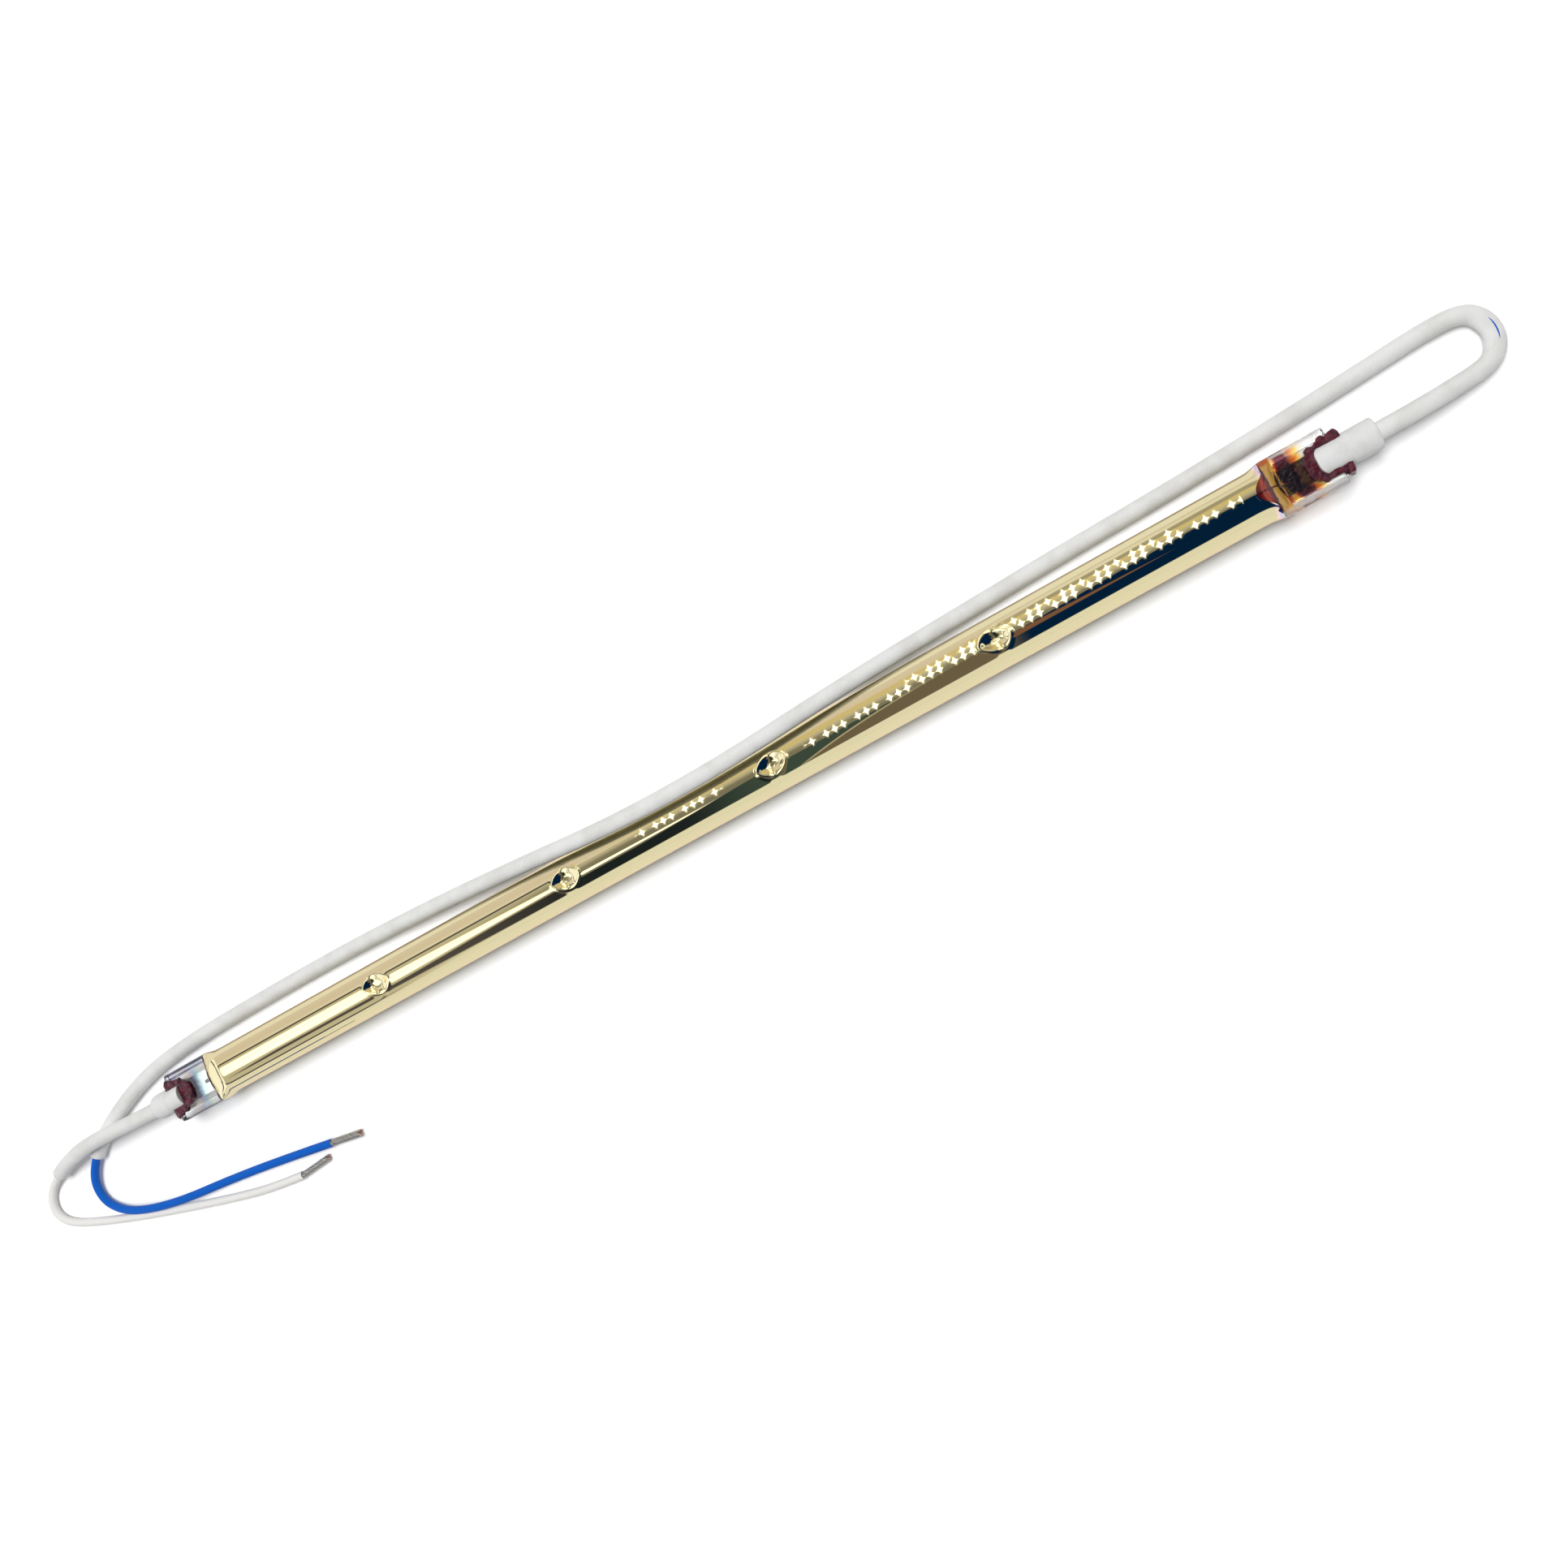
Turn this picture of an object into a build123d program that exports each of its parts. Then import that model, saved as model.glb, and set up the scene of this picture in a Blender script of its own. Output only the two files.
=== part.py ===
from build123d import *

import os
from math import radians, tan

# An infrared heat lamp: a gold-coated quartz tube, pinched flat at both ends, with a
# ceramic cap and a sleeved flying lead cemented to each end. It lies on the floor.
# X runs along the tube, Z is up, and the origin is on the floor under the tube's middle.

# Quartz tube
tube_diameter = 11.0
tube_wall = 1.1
body_length = 263.0
shoulder_length = 4.0
throat_width = 7.0
throat_height = 1.2
throat_land = 1.0

# Pinch seals
pinch_length = 12.5
pinch_width = 12.0
pinch_thickness = 3.4
pinch_corner = 0.7
pinch_root = 1.2
web_thickness = 2.0
rail_width = 1.6
web_root = 0.8

# Dimples pressed into the top of the tube
dimple_count = 4
dimple_pitch = 52.8
dimple_row_middle = -4.2
dimple_depth = 1.3
dimple_sphere = 5.2

# Filament and its supports
coil_radius = 1.3
coil_bore = 0.9
coil_end_gap = 8.5
tail_radius = 0.4
tail_length = 4.0
support_wire = 0.45
support_gap_angle = 100.0
support_clearance = 0.1

# Sealed-in metal
inner_lead_radius = 0.4
foil_length = 7.0
foil_width = 5.5
foil_thickness = 0.12
foil_start = 1.5
weld_overlap = 1.5
pin_radius = 0.5
pin_free_length = 3.0
seal_clearance = 0.02

# Ceramic caps, right and left
cap_radius = {"right": 3.3, "left": 3.05}
tongue_radius = {"right": 3.1, "left": 2.85}
slot_height = 2.6
slot_end_gap = 0.4
tongue_round = {"right": 2.3, "left": 0.7}
tongue_overlap = {"right": 3.9, "left": 2.4}
collar_beyond_pinch = {"right": 2.4, "left": 1.5}
cap_beyond_pinch = {"right": 8.3, "left": 6.8}
sleeve_seat = {"right": 3.5, "left": 2.4}
cap_edge = {"right": 0.35, "left": 2.0}
sleeve_fit = 0.12
crimp_fit = 0.2

# Cement beads
cement_height = 1.7
cement_edge = 0.5

# Crimps that join a pin to its wire
crimp_radius = 1.1
crimp_pin_depth = 1.8
crimp_fit_on_pin = 0.03

# Leads
sleeve_diameter = 3.65
sleeve_bore = 2.3
wire_diameter = 2.0
strand_diameter = {"right": 1.8, "left": 1.6}
bare_length = 8.8

# Worked-out sizes
tube_radius = tube_diameter / 2
axis_height = tube_radius
bore_radius = tube_radius - tube_wall
half_body = body_length / 2
shoulder_end = half_body + shoulder_length
pinch_end = shoulder_end + pinch_length
window_width = pinch_width - 2 * rail_width
dimple_centre = axis_height + tube_radius - dimple_depth + dimple_sphere
half_coil = half_body - coil_end_gap
foil_inner = shoulder_end + foil_start
foil_outer = foil_inner + foil_length

sides = {"right": 1, "left": -1}
row_start = dimple_row_middle - dimple_pitch * (dimple_count - 1) / 2
dimple_places = [row_start + dimple_pitch * i for i in range(dimple_count)]

cap_face = {side: pinch_end + cap_beyond_pinch[side] for side in sides}
seat_floor = {side: cap_face[side] - sleeve_seat[side] for side in sides}

# The leads' routes, corner by corner. Each starts at the crimp inside its cap.
right_route = [
    (seat_floor["right"], 0, axis_height),
    (162.0, 0, axis_height),
    (172.5, 0.6, 3.6),
    (180.3, 1.5, 1.9),
    (183.6, 4.8, 1.9),
    (183.6, 9.4, 1.9),
    (180.3, 12.7, 1.9),
    (173.0, 13.1, 1.9),
    (162.0, 12.4, 1.9),
    (144.0, 11.4, 1.9),
    (119.0, 10.5, 1.9),
    (94.0, 10.1, 1.9),
    (74.5, 9.4, 2.4),
    (55.0, 8.4, 5.3),
    (36.0, 6.8, 9.6),
    (17.0, 5.2, 11.7),
    (-1.0, 4.8, 12.1),
    (-19.0, 5.5, 11.2),
    (-38.0, 7.6, 8.2),
    (-62.0, 9.9, 4.2),
    (-90.0, 11.4, 1.9),
    (-118.0, 11.4, 1.9),
    (-142.0, 10.9, 1.9),
    (-158.5, 8.6, 1.9),
    (-175.0, 1.3, 1.9),
    (-182.5, -5.9, 1.9),
    (-183.3, -12.6, 1.1),
    (-178.5, -17.5, 1.7),
    (-170.5, -20.3, 3.0),
    (-160.5, -22.2, 2.7),
    (-148.0, -23.0, 1.1),
    (-132.4, -24.6, 1.1),
    (-117.4, -26.6, 1.1),
]
left_route = [
    (-seat_floor["left"], 0, axis_height),
    (-160.0, 0, axis_height),
    (-169.5, 0.4, 6.4),
    (-178.5, 0.3, 6.2),
    (-186.5, -0.8, 3.7),
    (-194.9, -3.4, 1.2),
    (-197.6, -7.0, 1.1),
    (-197.4, -11.0, 1.1),
    (-194.3, -14.2, 1.1),
    (-187.0, -17.0, 1.1),
    (-176.0, -20.4, 1.1),
    (-163.0, -23.8, 1.1),
    (-149.0, -27.2, 1.1),
    (-137.5, -29.5, 1.1),
    (-128.1, -30.2, 1.1),
]
routes = {"right": right_route, "left": left_route}
# The run of each route in whose middle the sleeve ends
sleeve_last_corner = {"right": 24, "left": 4}


def across(x):
    """The plane across the tube at x, centred on its axis."""
    return Plane(origin=(x, 0, axis_height), x_dir=(0, 1, 0), z_dir=(1, 0, 0))


def corner_radii(points):
    """The bend at each inner point: 0.45 of the shorter run over the tangent of half the turn."""
    corners = [Vector(*p) for p in points]
    radii = []
    for before, here, after in zip(corners, corners[1:], corners[2:]):
        run_in = here - before
        run_out = after - here
        half_turn = radians(run_in.get_angle(run_out)) / 2
        radii.append(0.45 * min(run_in.length, run_out.length) / tan(half_turn))
    return radii


# Space inside the tube: the bore, its flattened ends, and the dents' inner bulges
with BuildPart() as cavity:
    with BuildSketch(across(-half_body)):
        Circle(bore_radius)
    extrude(amount=body_length)
    for sign in sides.values():
        with BuildSketch(across(sign * half_body)):
            Circle(bore_radius)
        with BuildSketch(across(sign * (shoulder_end - throat_land))):
            Ellipse(throat_width / 2, throat_height / 2)
        loft()
    for x in dimple_places:
        with Locations((x, 0, dimple_centre)):
            Sphere(dimple_sphere + tube_wall, rotation=(90, 0, 0), mode=Mode.SUBTRACT)

# Quartz envelope: tube, shoulders and pinches are one piece of glass
with BuildPart() as quartz_envelope:
    with BuildSketch(across(-half_body)):
        Circle(tube_radius)
    extrude(amount=body_length)
    for sign in sides.values():
        with BuildSketch(across(sign * half_body)):
            Circle(tube_radius)
        with BuildSketch(across(sign * shoulder_end)):
            Ellipse(pinch_width / 2, pinch_thickness / 2)
        loft()
        with BuildSketch(across(sign * (shoulder_end - pinch_root))):
            RectangleRounded(pinch_width, pinch_thickness, pinch_corner)
        extrude(amount=sign * (pinch_root + pinch_length))
    groove_depth = (pinch_thickness - web_thickness) / 2
    for sign in sides.values():
        for face in (-1, 1):
            floor = axis_height + face * web_thickness / 2
            middle = sign * (shoulder_end + web_root + pinch_length / 2)
            with BuildSketch(Plane.XY.offset(floor)):
                with Locations((middle, 0)):
                    Rectangle(pinch_length, window_width)
            extrude(amount=face * 2 * groove_depth, mode=Mode.SUBTRACT)
    for x in dimple_places:
        with Locations((x, 0, dimple_centre)):
            Sphere(dimple_sphere, rotation=(90, 0, 0), mode=Mode.SUBTRACT)
    add(cavity.part, mode=Mode.SUBTRACT)
    for sign in sides.values():
        with BuildSketch(across(sign * (shoulder_end - 2 * throat_land))):
            Circle(inner_lead_radius + seal_clearance)
        extrude(amount=sign * (2 * throat_land + foil_start + weld_overlap), mode=Mode.SUBTRACT)
        with BuildSketch(across(sign * foil_inner)):
            Rectangle(foil_width, foil_thickness)
        extrude(amount=sign * foil_length, mode=Mode.SUBTRACT)
        with BuildSketch(across(sign * (foil_outer - weld_overlap))):
            Circle(pin_radius + seal_clearance)
        extrude(amount=sign * pinch_length, mode=Mode.SUBTRACT)

quartz_envelope.part.label = "quartz_envelope"

# Filament: the close-wound coil as the hollow cylinder that its turns fill, and two tails
with BuildPart() as filament:
    with BuildSketch(across(-half_coil)):
        Circle(coil_radius)
    extrude(amount=2 * half_coil)
    with BuildSketch(across(-half_coil)):
        Circle(coil_bore)
    extrude(amount=2 * half_coil, mode=Mode.SUBTRACT)
    for sign in sides.values():
        with BuildSketch(across(sign * (half_coil - support_wire))):
            Circle(coil_bore)
        extrude(amount=sign * support_wire)
        with BuildSketch(across(sign * half_coil)):
            Circle(tail_radius)
        extrude(amount=sign * tail_length)

filament.part.label = "filament"

# Filament supports: a loop round the coil, a stem, and a spring ring that stands in the bore.
# The ring is open at the top, where the dimple comes in and keeps it from sliding.
support_radius = support_wire / 2
loop_radius = coil_radius + support_clearance + support_radius
ring_radius = bore_radius - support_clearance - support_radius
supports = []
for x in dimple_places:
    with BuildPart() as support:
        with BuildLine(across(x)) as ring_line:
            CenterArc((0, 0), ring_radius, 90 + support_gap_angle / 2, 360 - support_gap_angle)
        with BuildSketch(Plane(origin=ring_line.line @ 0, z_dir=ring_line.line % 0)):
            Circle(support_radius)
        sweep()
        with Locations((x, 0, axis_height)):
            Torus(loop_radius, support_radius, rotation=(0, 90, 0))
        with Locations((x, 0, axis_height - (loop_radius + ring_radius) / 2)):
            Cylinder(support_radius, ring_radius - loop_radius)
    supports.append(support)

# Metal sealed into each pinch: a round inner lead, a thin foil and a round outer pin.
# Each round piece is ground to half its section where it is welded onto the foil.
inner_leads = {}
seal_foils = {}
outer_pins = {}
for side, sign in sides.items():
    lead_length = foil_inner + weld_overlap - half_coil - tail_length
    with BuildPart() as inner_lead:
        with BuildSketch(across(sign * (half_coil + tail_length))):
            Circle(inner_lead_radius)
        extrude(amount=sign * lead_length)
        with BuildSketch(across(sign * foil_inner)):
            with Locations((0, -pin_radius + foil_thickness / 2)):
                Rectangle(2 * pin_radius, 2 * pin_radius)
        extrude(amount=sign * weld_overlap, mode=Mode.SUBTRACT)
    inner_leads[side] = inner_lead

    with BuildPart() as seal_foil:
        with BuildSketch(across(sign * foil_inner)):
            Rectangle(foil_width, foil_thickness)
        extrude(amount=sign * foil_length)
    seal_foils[side] = seal_foil

    pin_length = pinch_end + pin_free_length - foil_outer + weld_overlap
    with BuildPart() as outer_pin:
        with BuildSketch(across(sign * (foil_outer - weld_overlap))):
            Circle(pin_radius)
        extrude(amount=sign * pin_length)
        with BuildSketch(across(sign * (foil_outer - weld_overlap))):
            with Locations((0, -pin_radius + foil_thickness / 2)):
                Rectangle(2 * pin_radius, 2 * pin_radius)
        extrude(amount=sign * weld_overlap, mode=Mode.SUBTRACT)
    outer_pins[side] = outer_pin

# Ceramic caps: a round body with a bore for the lead, on a slimmer neck whose two tongues
# stand astride the pinch
caps = {}
for side, sign in sides.items():
    tongue_tip = pinch_end - tongue_overlap[side]
    slot_floor = pinch_end + slot_end_gap
    collar = pinch_end + collar_beyond_pinch[side]
    neck_length = collar - tongue_tip
    with BuildPart() as cap:
        with BuildSketch(across(sign * tongue_tip)):
            Circle(tongue_radius[side])
        extrude(amount=sign * neck_length)
        with BuildSketch(Plane.XY) as tongue_plan:
            with Locations((sign * (tongue_tip + neck_length / 2), 0)):
                Rectangle(neck_length, 2 * tongue_radius[side])
            inner_corners = tongue_plan.vertices().group_by(Axis.X)[0 if sign > 0 else -1]
            fillet(inner_corners, tongue_round[side])
        extrude(amount=2 * axis_height, mode=Mode.INTERSECT)
        with BuildSketch(across(sign * collar)):
            Circle(cap_radius[side])
        extrude(amount=sign * (cap_face[side] - collar))
        rim = cap.edges().sort_by(Axis.X)[-1 if sign > 0 else 0]
        fillet(rim, cap_edge[side])
        with BuildSketch(across(sign * tongue_tip)):
            Rectangle(2 * tongue_radius[side], slot_height)
        extrude(amount=sign * (slot_floor - tongue_tip), mode=Mode.SUBTRACT)
        with BuildSketch(across(sign * seat_floor[side])):
            Circle(sleeve_diameter / 2 + sleeve_fit)
        extrude(amount=sign * sleeve_seat[side], mode=Mode.SUBTRACT)
        with BuildSketch(across(sign * slot_floor)):
            Circle(crimp_radius + crimp_fit)
        extrude(amount=sign * (seat_floor[side] - slot_floor), mode=Mode.SUBTRACT)
    caps[side] = cap

# Crimps: each holds the pin in a blind bore and meets the wire at its other end
crimps = {}
for side, sign in sides.items():
    crimp_start = pinch_end + pin_free_length - crimp_pin_depth
    with BuildPart() as crimp:
        with BuildSketch(across(sign * crimp_start)):
            Circle(crimp_radius)
        extrude(amount=sign * (seat_floor[side] - crimp_start))
        with BuildSketch(across(sign * crimp_start)):
            Circle(pin_radius + crimp_fit_on_pin)
        extrude(amount=sign * crimp_pin_depth, mode=Mode.SUBTRACT)
    crimps[side] = crimp

# Cement beads: an uneven collar round the tongues, between the pinch's rails.
# Each outline is given from the pinch's end, towards the middle of the lamp as minus.
cement_outline = {
    "right": [
        (1.8, -4.3),
        (-0.4, -3.8),
        (-3.0, -3.7),
        (-5.2, -2.6),
        (-6.1, -0.4),
        (-5.7, 2.0),
        (-3.6, 3.6),
        (-0.6, 4.1),
        (2.0, 4.1),
    ],
    "left": [
        (0.9, -4.1),
        (-1.6, -4.2),
        (-3.6, -3.4),
        (-5.4, -2.2),
        (-5.9, -0.2),
        (-5.4, 1.8),
        (-4.0, 3.2),
        (-1.8, 4.0),
        (0.8, 4.2),
    ],
}
cements = {}
for side, sign in sides.items():
    outline = [(sign * along, out) for along, out in cement_outline[side]]
    with BuildPart() as bead:
        with BuildSketch(Plane.XY):
            with BuildLine():
                edge = Spline(*outline)
                Line(edge @ 1, edge @ 0)
            make_face()
        extrude(amount=cement_height, both=True)
        rims = bead.faces().filter_by(Axis.Z).edges()
        fillet(rims, cement_edge)
    with BuildPart() as cement:
        with Locations((sign * pinch_end, 0, axis_height)):
            add(bead.part)
        add(quartz_envelope.part, mode=Mode.SUBTRACT)
        add(caps[side].part, mode=Mode.SUBTRACT)
        with BuildSketch(across(sign * (pinch_end + slot_end_gap))):
            Circle(tongue_radius[side])
        extrude(amount=sign * cap_beyond_pinch[side], mode=Mode.SUBTRACT)
        with BuildSketch(across(sign * shoulder_end)):
            Rectangle(window_width, web_thickness)
        extrude(amount=sign * pinch_length, mode=Mode.SUBTRACT)
        with BuildSketch(across(sign * pinch_end)):
            Circle(pin_radius + seal_clearance)
        extrude(amount=sign * pin_free_length, mode=Mode.SUBTRACT)
    cements[side] = cement

# Leads: a sleeve over an insulated wire, and the bare strands at its end
sleeves = {}
wires = {}
strands = {}
for side, sign in sides.items():
    route = routes[side]
    radii = corner_radii(route)
    print(side, "lead's bends in mm:", [round(r, 1) for r in radii])
    last = sleeve_last_corner[side]
    run_middle = (Vector(*route[last]) + Vector(*route[last + 1])) / 2

    with BuildPart() as sleeve:
        with BuildLine() as sleeve_line:
            FilletPolyline(*route[: last + 1], run_middle, radius=radii[:last])
        with BuildSketch(across(sign * seat_floor[side])):
            Circle(sleeve_diameter / 2)
            Circle(sleeve_bore / 2, mode=Mode.SUBTRACT)
        sweep()
    sleeves[side] = sleeve

    with BuildPart() as wire:
        with BuildLine() as wire_line:
            FilletPolyline(*route, radius=radii)
        with BuildSketch(across(sign * seat_floor[side])):
            Circle(wire_diameter / 2)
        sweep()
    wires[side] = wire

    with BuildPart() as strand:
        with BuildSketch(Plane(origin=route[-1], z_dir=Vector(*route[-1]) - Vector(*route[-2]))):
            Circle(strand_diameter[side] / 2)
        extrude(amount=bare_length)
    strands[side] = strand

    lengths = {
        "sleeve": sum(edge.length for edge in sleeve_line.edges()),
        "wire": sum(edge.length for edge in wire_line.edges()),
    }
    print(side, "lengths in mm:", {name: round(value, 1) for name, value in lengths.items()})

pieces = {"quartz_envelope": quartz_envelope, "filament": filament}
for number, support in enumerate(supports, start=1):
    pieces[f"filament_support_{number}"] = support
groups = {
    "inner_lead": inner_leads,
    "seal_foil": seal_foils,
    "outer_pin": outer_pins,
    "crimp": crimps,
    "ceramic_cap": caps,
    "cement": cements,
    "sleeve": sleeves,
    "wire": wires,
    "strands": strands,
}
for group, members in groups.items():
    for side, piece in members.items():
        pieces[f"{group}_{side}"] = piece

os.makedirs("parts", exist_ok=True)
for name, piece in pieces.items():
    piece.part.label = name
    export_step(piece.part, f"parts/{name}.step")
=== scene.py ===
"""Dress the infrared heat lamp: a gold-coated quartz tube with two capped ends and two leads.

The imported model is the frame. Sizes are in millimetres, in the frame's own axes: X runs along
the tube towards the end whose long lead loops back, Z is up, and the origin is on the floor
under the middle of the tube. Meshes are scaled to metres as they are made.
"""

from __future__ import annotations

import logging
import math
from dataclasses import dataclass, field
from enum import Enum
from functools import reduce
from typing import Iterable, Sequence

import bmesh
import bpy
import numpy as np
from mathutils import Matrix, Vector, noise

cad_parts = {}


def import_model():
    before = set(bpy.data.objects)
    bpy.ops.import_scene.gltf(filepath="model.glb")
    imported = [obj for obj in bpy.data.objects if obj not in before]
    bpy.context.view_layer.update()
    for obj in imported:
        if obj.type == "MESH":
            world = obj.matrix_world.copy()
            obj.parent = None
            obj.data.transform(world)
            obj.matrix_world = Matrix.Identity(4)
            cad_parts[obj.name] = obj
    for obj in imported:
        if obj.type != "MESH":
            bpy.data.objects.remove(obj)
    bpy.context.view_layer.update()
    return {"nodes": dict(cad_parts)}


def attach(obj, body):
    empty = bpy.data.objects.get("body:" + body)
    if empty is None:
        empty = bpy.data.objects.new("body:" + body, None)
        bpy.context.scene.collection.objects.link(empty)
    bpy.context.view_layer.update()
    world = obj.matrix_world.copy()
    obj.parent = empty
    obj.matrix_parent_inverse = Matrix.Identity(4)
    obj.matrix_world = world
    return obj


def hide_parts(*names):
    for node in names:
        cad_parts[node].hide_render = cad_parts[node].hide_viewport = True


LOG = logging.getLogger("heat_lamp")

MM = 0.001
BODY = "root"
LAY_MAP = "lay"

# Sizes that more than one piece needs, in millimetres
AXIS_HEIGHT = 5.5
SHOULDER_END = 135.5
PINCH_END = 148.0

# The Mix node's own numbers for its factor, its two colours and its mixed colour
MIX_COLOUR_INPUTS = (0, 6, 7)
MIX_COLOUR_RESULT = 2

Point = tuple[float, float, float]
Flat = tuple[float, float]
Colour = tuple[float, float, float]
Face = tuple[int, ...]


class Side(Enum):
    """The two ends of the lamp, each with its direction along X."""

    RIGHT = 1
    LEFT = -1

    @property
    def word(self) -> str:
        """The side's word in the names of nodes and pieces."""
        return self.name.lower()


class Ray(Enum):
    """What the floor and the world ask about a ray, by the Light Path's outputs."""

    CAMERA = "Is Camera Ray"
    GLOSSY = "Is Glossy Ray"
    TRANSMISSION = "Is Transmission Ray"
    DIFFUSE_BOUNCES = "Diffuse Depth"


# Meshes


def make_object(name: str, data: bpy.types.ID) -> bpy.types.Object:
    """Link a new object to the scene.

    Args:
        name: the object's name.
        data: its mesh, curve, light or camera.

    Returns:
        The new object.
    """
    thing = bpy.data.objects.new(name, data)
    bpy.context.scene.collection.objects.link(thing)
    return thing


def shade_smooth(mesh: bpy.types.Mesh) -> None:
    """Shade every face of a mesh smoothly."""
    mesh.polygons.foreach_set("use_smooth", [True] * len(mesh.polygons))
    mesh.update()


def make_mesh(name: str, points: np.ndarray, faces: Iterable[Face]) -> bpy.types.Mesh:
    """Make a smooth-shaded mesh from points in millimetres.

    Args:
        name: the mesh's name.
        points: one row of x, y and z for each vertex.
        faces: the vertex numbers of each face.

    Returns:
        The mesh, in metres, with its normals outwards.
    """
    mesh = bpy.data.meshes.new(name)
    mesh.from_pydata((np.asarray(points, float) * MM).tolist(), [], list(faces))
    shell = bmesh.new()
    shell.from_mesh(mesh)
    bmesh.ops.recalc_face_normals(shell, faces=shell.faces[:])
    shell.to_mesh(mesh)
    shell.free()
    shade_smooth(mesh)
    return mesh


def ring_faces(rings: int, columns: int, capped: bool = False) -> list[Face]:
    """List the quads between successive rings of vertices.

    Args:
        rings: how many rings there are.
        columns: how many vertices each ring has.
        capped: whether the first and the last ring get a face too, after the quads.

    Returns:
        The vertex numbers of each face.
    """
    faces: list[Face] = []
    for low in range(0, (rings - 1) * columns, columns):
        high = low + columns
        for column in range(columns):
            beside = (column + 1) % columns
            faces.append((low + column, low + beside, high + beside, high + column))
    if capped:
        last = (rings - 1) * columns
        faces += [tuple(range(columns)), tuple(range(last, last + columns))]
    return faces


def lathe(profile: Sequence[Flat], columns: int) -> tuple[np.ndarray, list[Face]]:
    """Turn a profile about the tube's axis.

    Args:
        profile: x and radius of each ring; the first and last radius are small, and are closed.
        columns: how many vertices each ring has.

    Returns:
        The points in millimetres, and the faces.
    """
    turn = np.linspace(0, 2 * math.pi, columns, endpoint=False)
    rings = [
        np.stack([np.full(columns, x), r * np.cos(turn), r * np.sin(turn) + AXIS_HEIGHT], 1)
        for x, r in profile
    ]
    return np.concatenate(rings), ring_faces(len(profile), columns, capped=True)


def prism(outline: Sequence[Flat], low: float, high: float) -> tuple[np.ndarray, list[Face]]:
    """Stand an outline in the floor's plane up between two heights.

    Args:
        outline: x and y of each corner, in order.
        low: height of the lower face.
        high: height of the upper face.

    Returns:
        The points in millimetres, and the faces.
    """
    count = len(outline)
    points = [(x, y, z) for z in (low, high) for x, y in outline]
    ends = [tuple(range(count)), tuple(range(count, 2 * count))]
    return np.array(points), ends + ring_faces(2, count)


def quarter_round(x: float, y: float, radius: float, inwards: int) -> list[Flat]:
    """Round the corner between a side at y and an end at x.

    Args:
        x: where the end is.
        y: how far out the side is.
        radius: the corner's radius.
        inwards: 1 where the body lies towards larger x, -1 where it lies towards smaller.

    Returns:
        Nine points from the side to the end.
    """
    angles = np.arange(9) / 8 * math.pi / 2
    return [
        (x + inwards * radius * (1 - math.sin(angle)), y - radius * (1 - math.cos(angle)))
        for angle in angles
    ]


def smooth_outline(corners: Sequence[Flat], steps: int = 8) -> list[Flat]:
    """Run a closed, smooth line through the corners of an outline.

    Args:
        corners: the points that the line passes through, in order.
        steps: how many points are made for each corner.

    Returns:
        The line's points.
    """
    line = []
    ring = np.array(corners)
    for before, here, after, beyond in zip(*(np.roll(ring, -k, axis=0) for k in (-1, 0, 1, 2))):
        slope = after - before
        bend = 2 * before - 5 * here + 4 * after - beyond
        twist = 3 * here - before - 3 * after + beyond
        for step in range(steps):
            t = step / steps
            line.append(tuple(0.5 * (2 * here + slope * t + bend * t**2 + twist * t**3)))
    return line


def ease(value: np.ndarray | float) -> np.ndarray | float:
    """Turn 0 to 1 into a smooth rise from 0 to 1, flat outside it."""
    t = np.clip(value, 0.0, 1.0)
    return t * t * (3 - 2 * t)


def evaluated(thing: bpy.types.Object, name: str) -> bpy.types.Mesh:
    """Apply an object's modifiers, and remove the object.

    Args:
        thing: the object with its modifiers.
        name: the name of the new mesh.

    Returns:
        A new mesh with the modifiers' result.
    """
    bpy.context.view_layer.update()
    graph = bpy.context.evaluated_depsgraph_get()
    mesh = bpy.data.meshes.new_from_object(thing.evaluated_get(graph))
    mesh.name = name
    bpy.data.objects.remove(thing)
    return mesh


def carve(
    name: str, blank: bpy.types.Mesh, steps: Sequence[tuple[str, bpy.types.Mesh]]
) -> bpy.types.Mesh:
    """Cut, join or keep a blank by other closed meshes.

    Args:
        name: the name of the result.
        blank: the closed mesh that the work starts from.
        steps: the operation, UNION, DIFFERENCE or INTERSECT, and the other mesh, in order.

    Returns:
        The mesh that is left.
    """
    work = make_object(name + "_blank", blank)
    tools = [make_object(name + "_tool", mesh) for _, mesh in steps]
    for (operation, _), tool in zip(steps, tools):
        cut = work.modifiers.new("cut", "BOOLEAN")
        cut.operation = operation
        cut.object = tool
        cut.solver = "EXACT"
    result = evaluated(work, name)
    for tool in tools:
        bpy.data.objects.remove(tool)
    return result


def soften(mesh: bpy.types.Mesh, name: str, grain: float, passes: int) -> bpy.types.Mesh:
    """Round every edge of a closed mesh a little, as a fired or a set surface is.

    Args:
        mesh: the closed mesh.
        name: the name of the result.
        grain: the size of the new mesh's quads, in millimetres.
        passes: how often the surface is smoothed.

    Returns:
        The new mesh.
    """
    work = make_object(name + "_work", mesh)
    remesh = work.modifiers.new("remesh", "REMESH")
    remesh.mode = "VOXEL"
    remesh.voxel_size = grain * MM
    smooth = work.modifiers.new("smooth", "SMOOTH")
    smooth.factor = 0.5
    smooth.iterations = passes
    result = evaluated(work, name)
    shade_smooth(result)
    return result


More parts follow.
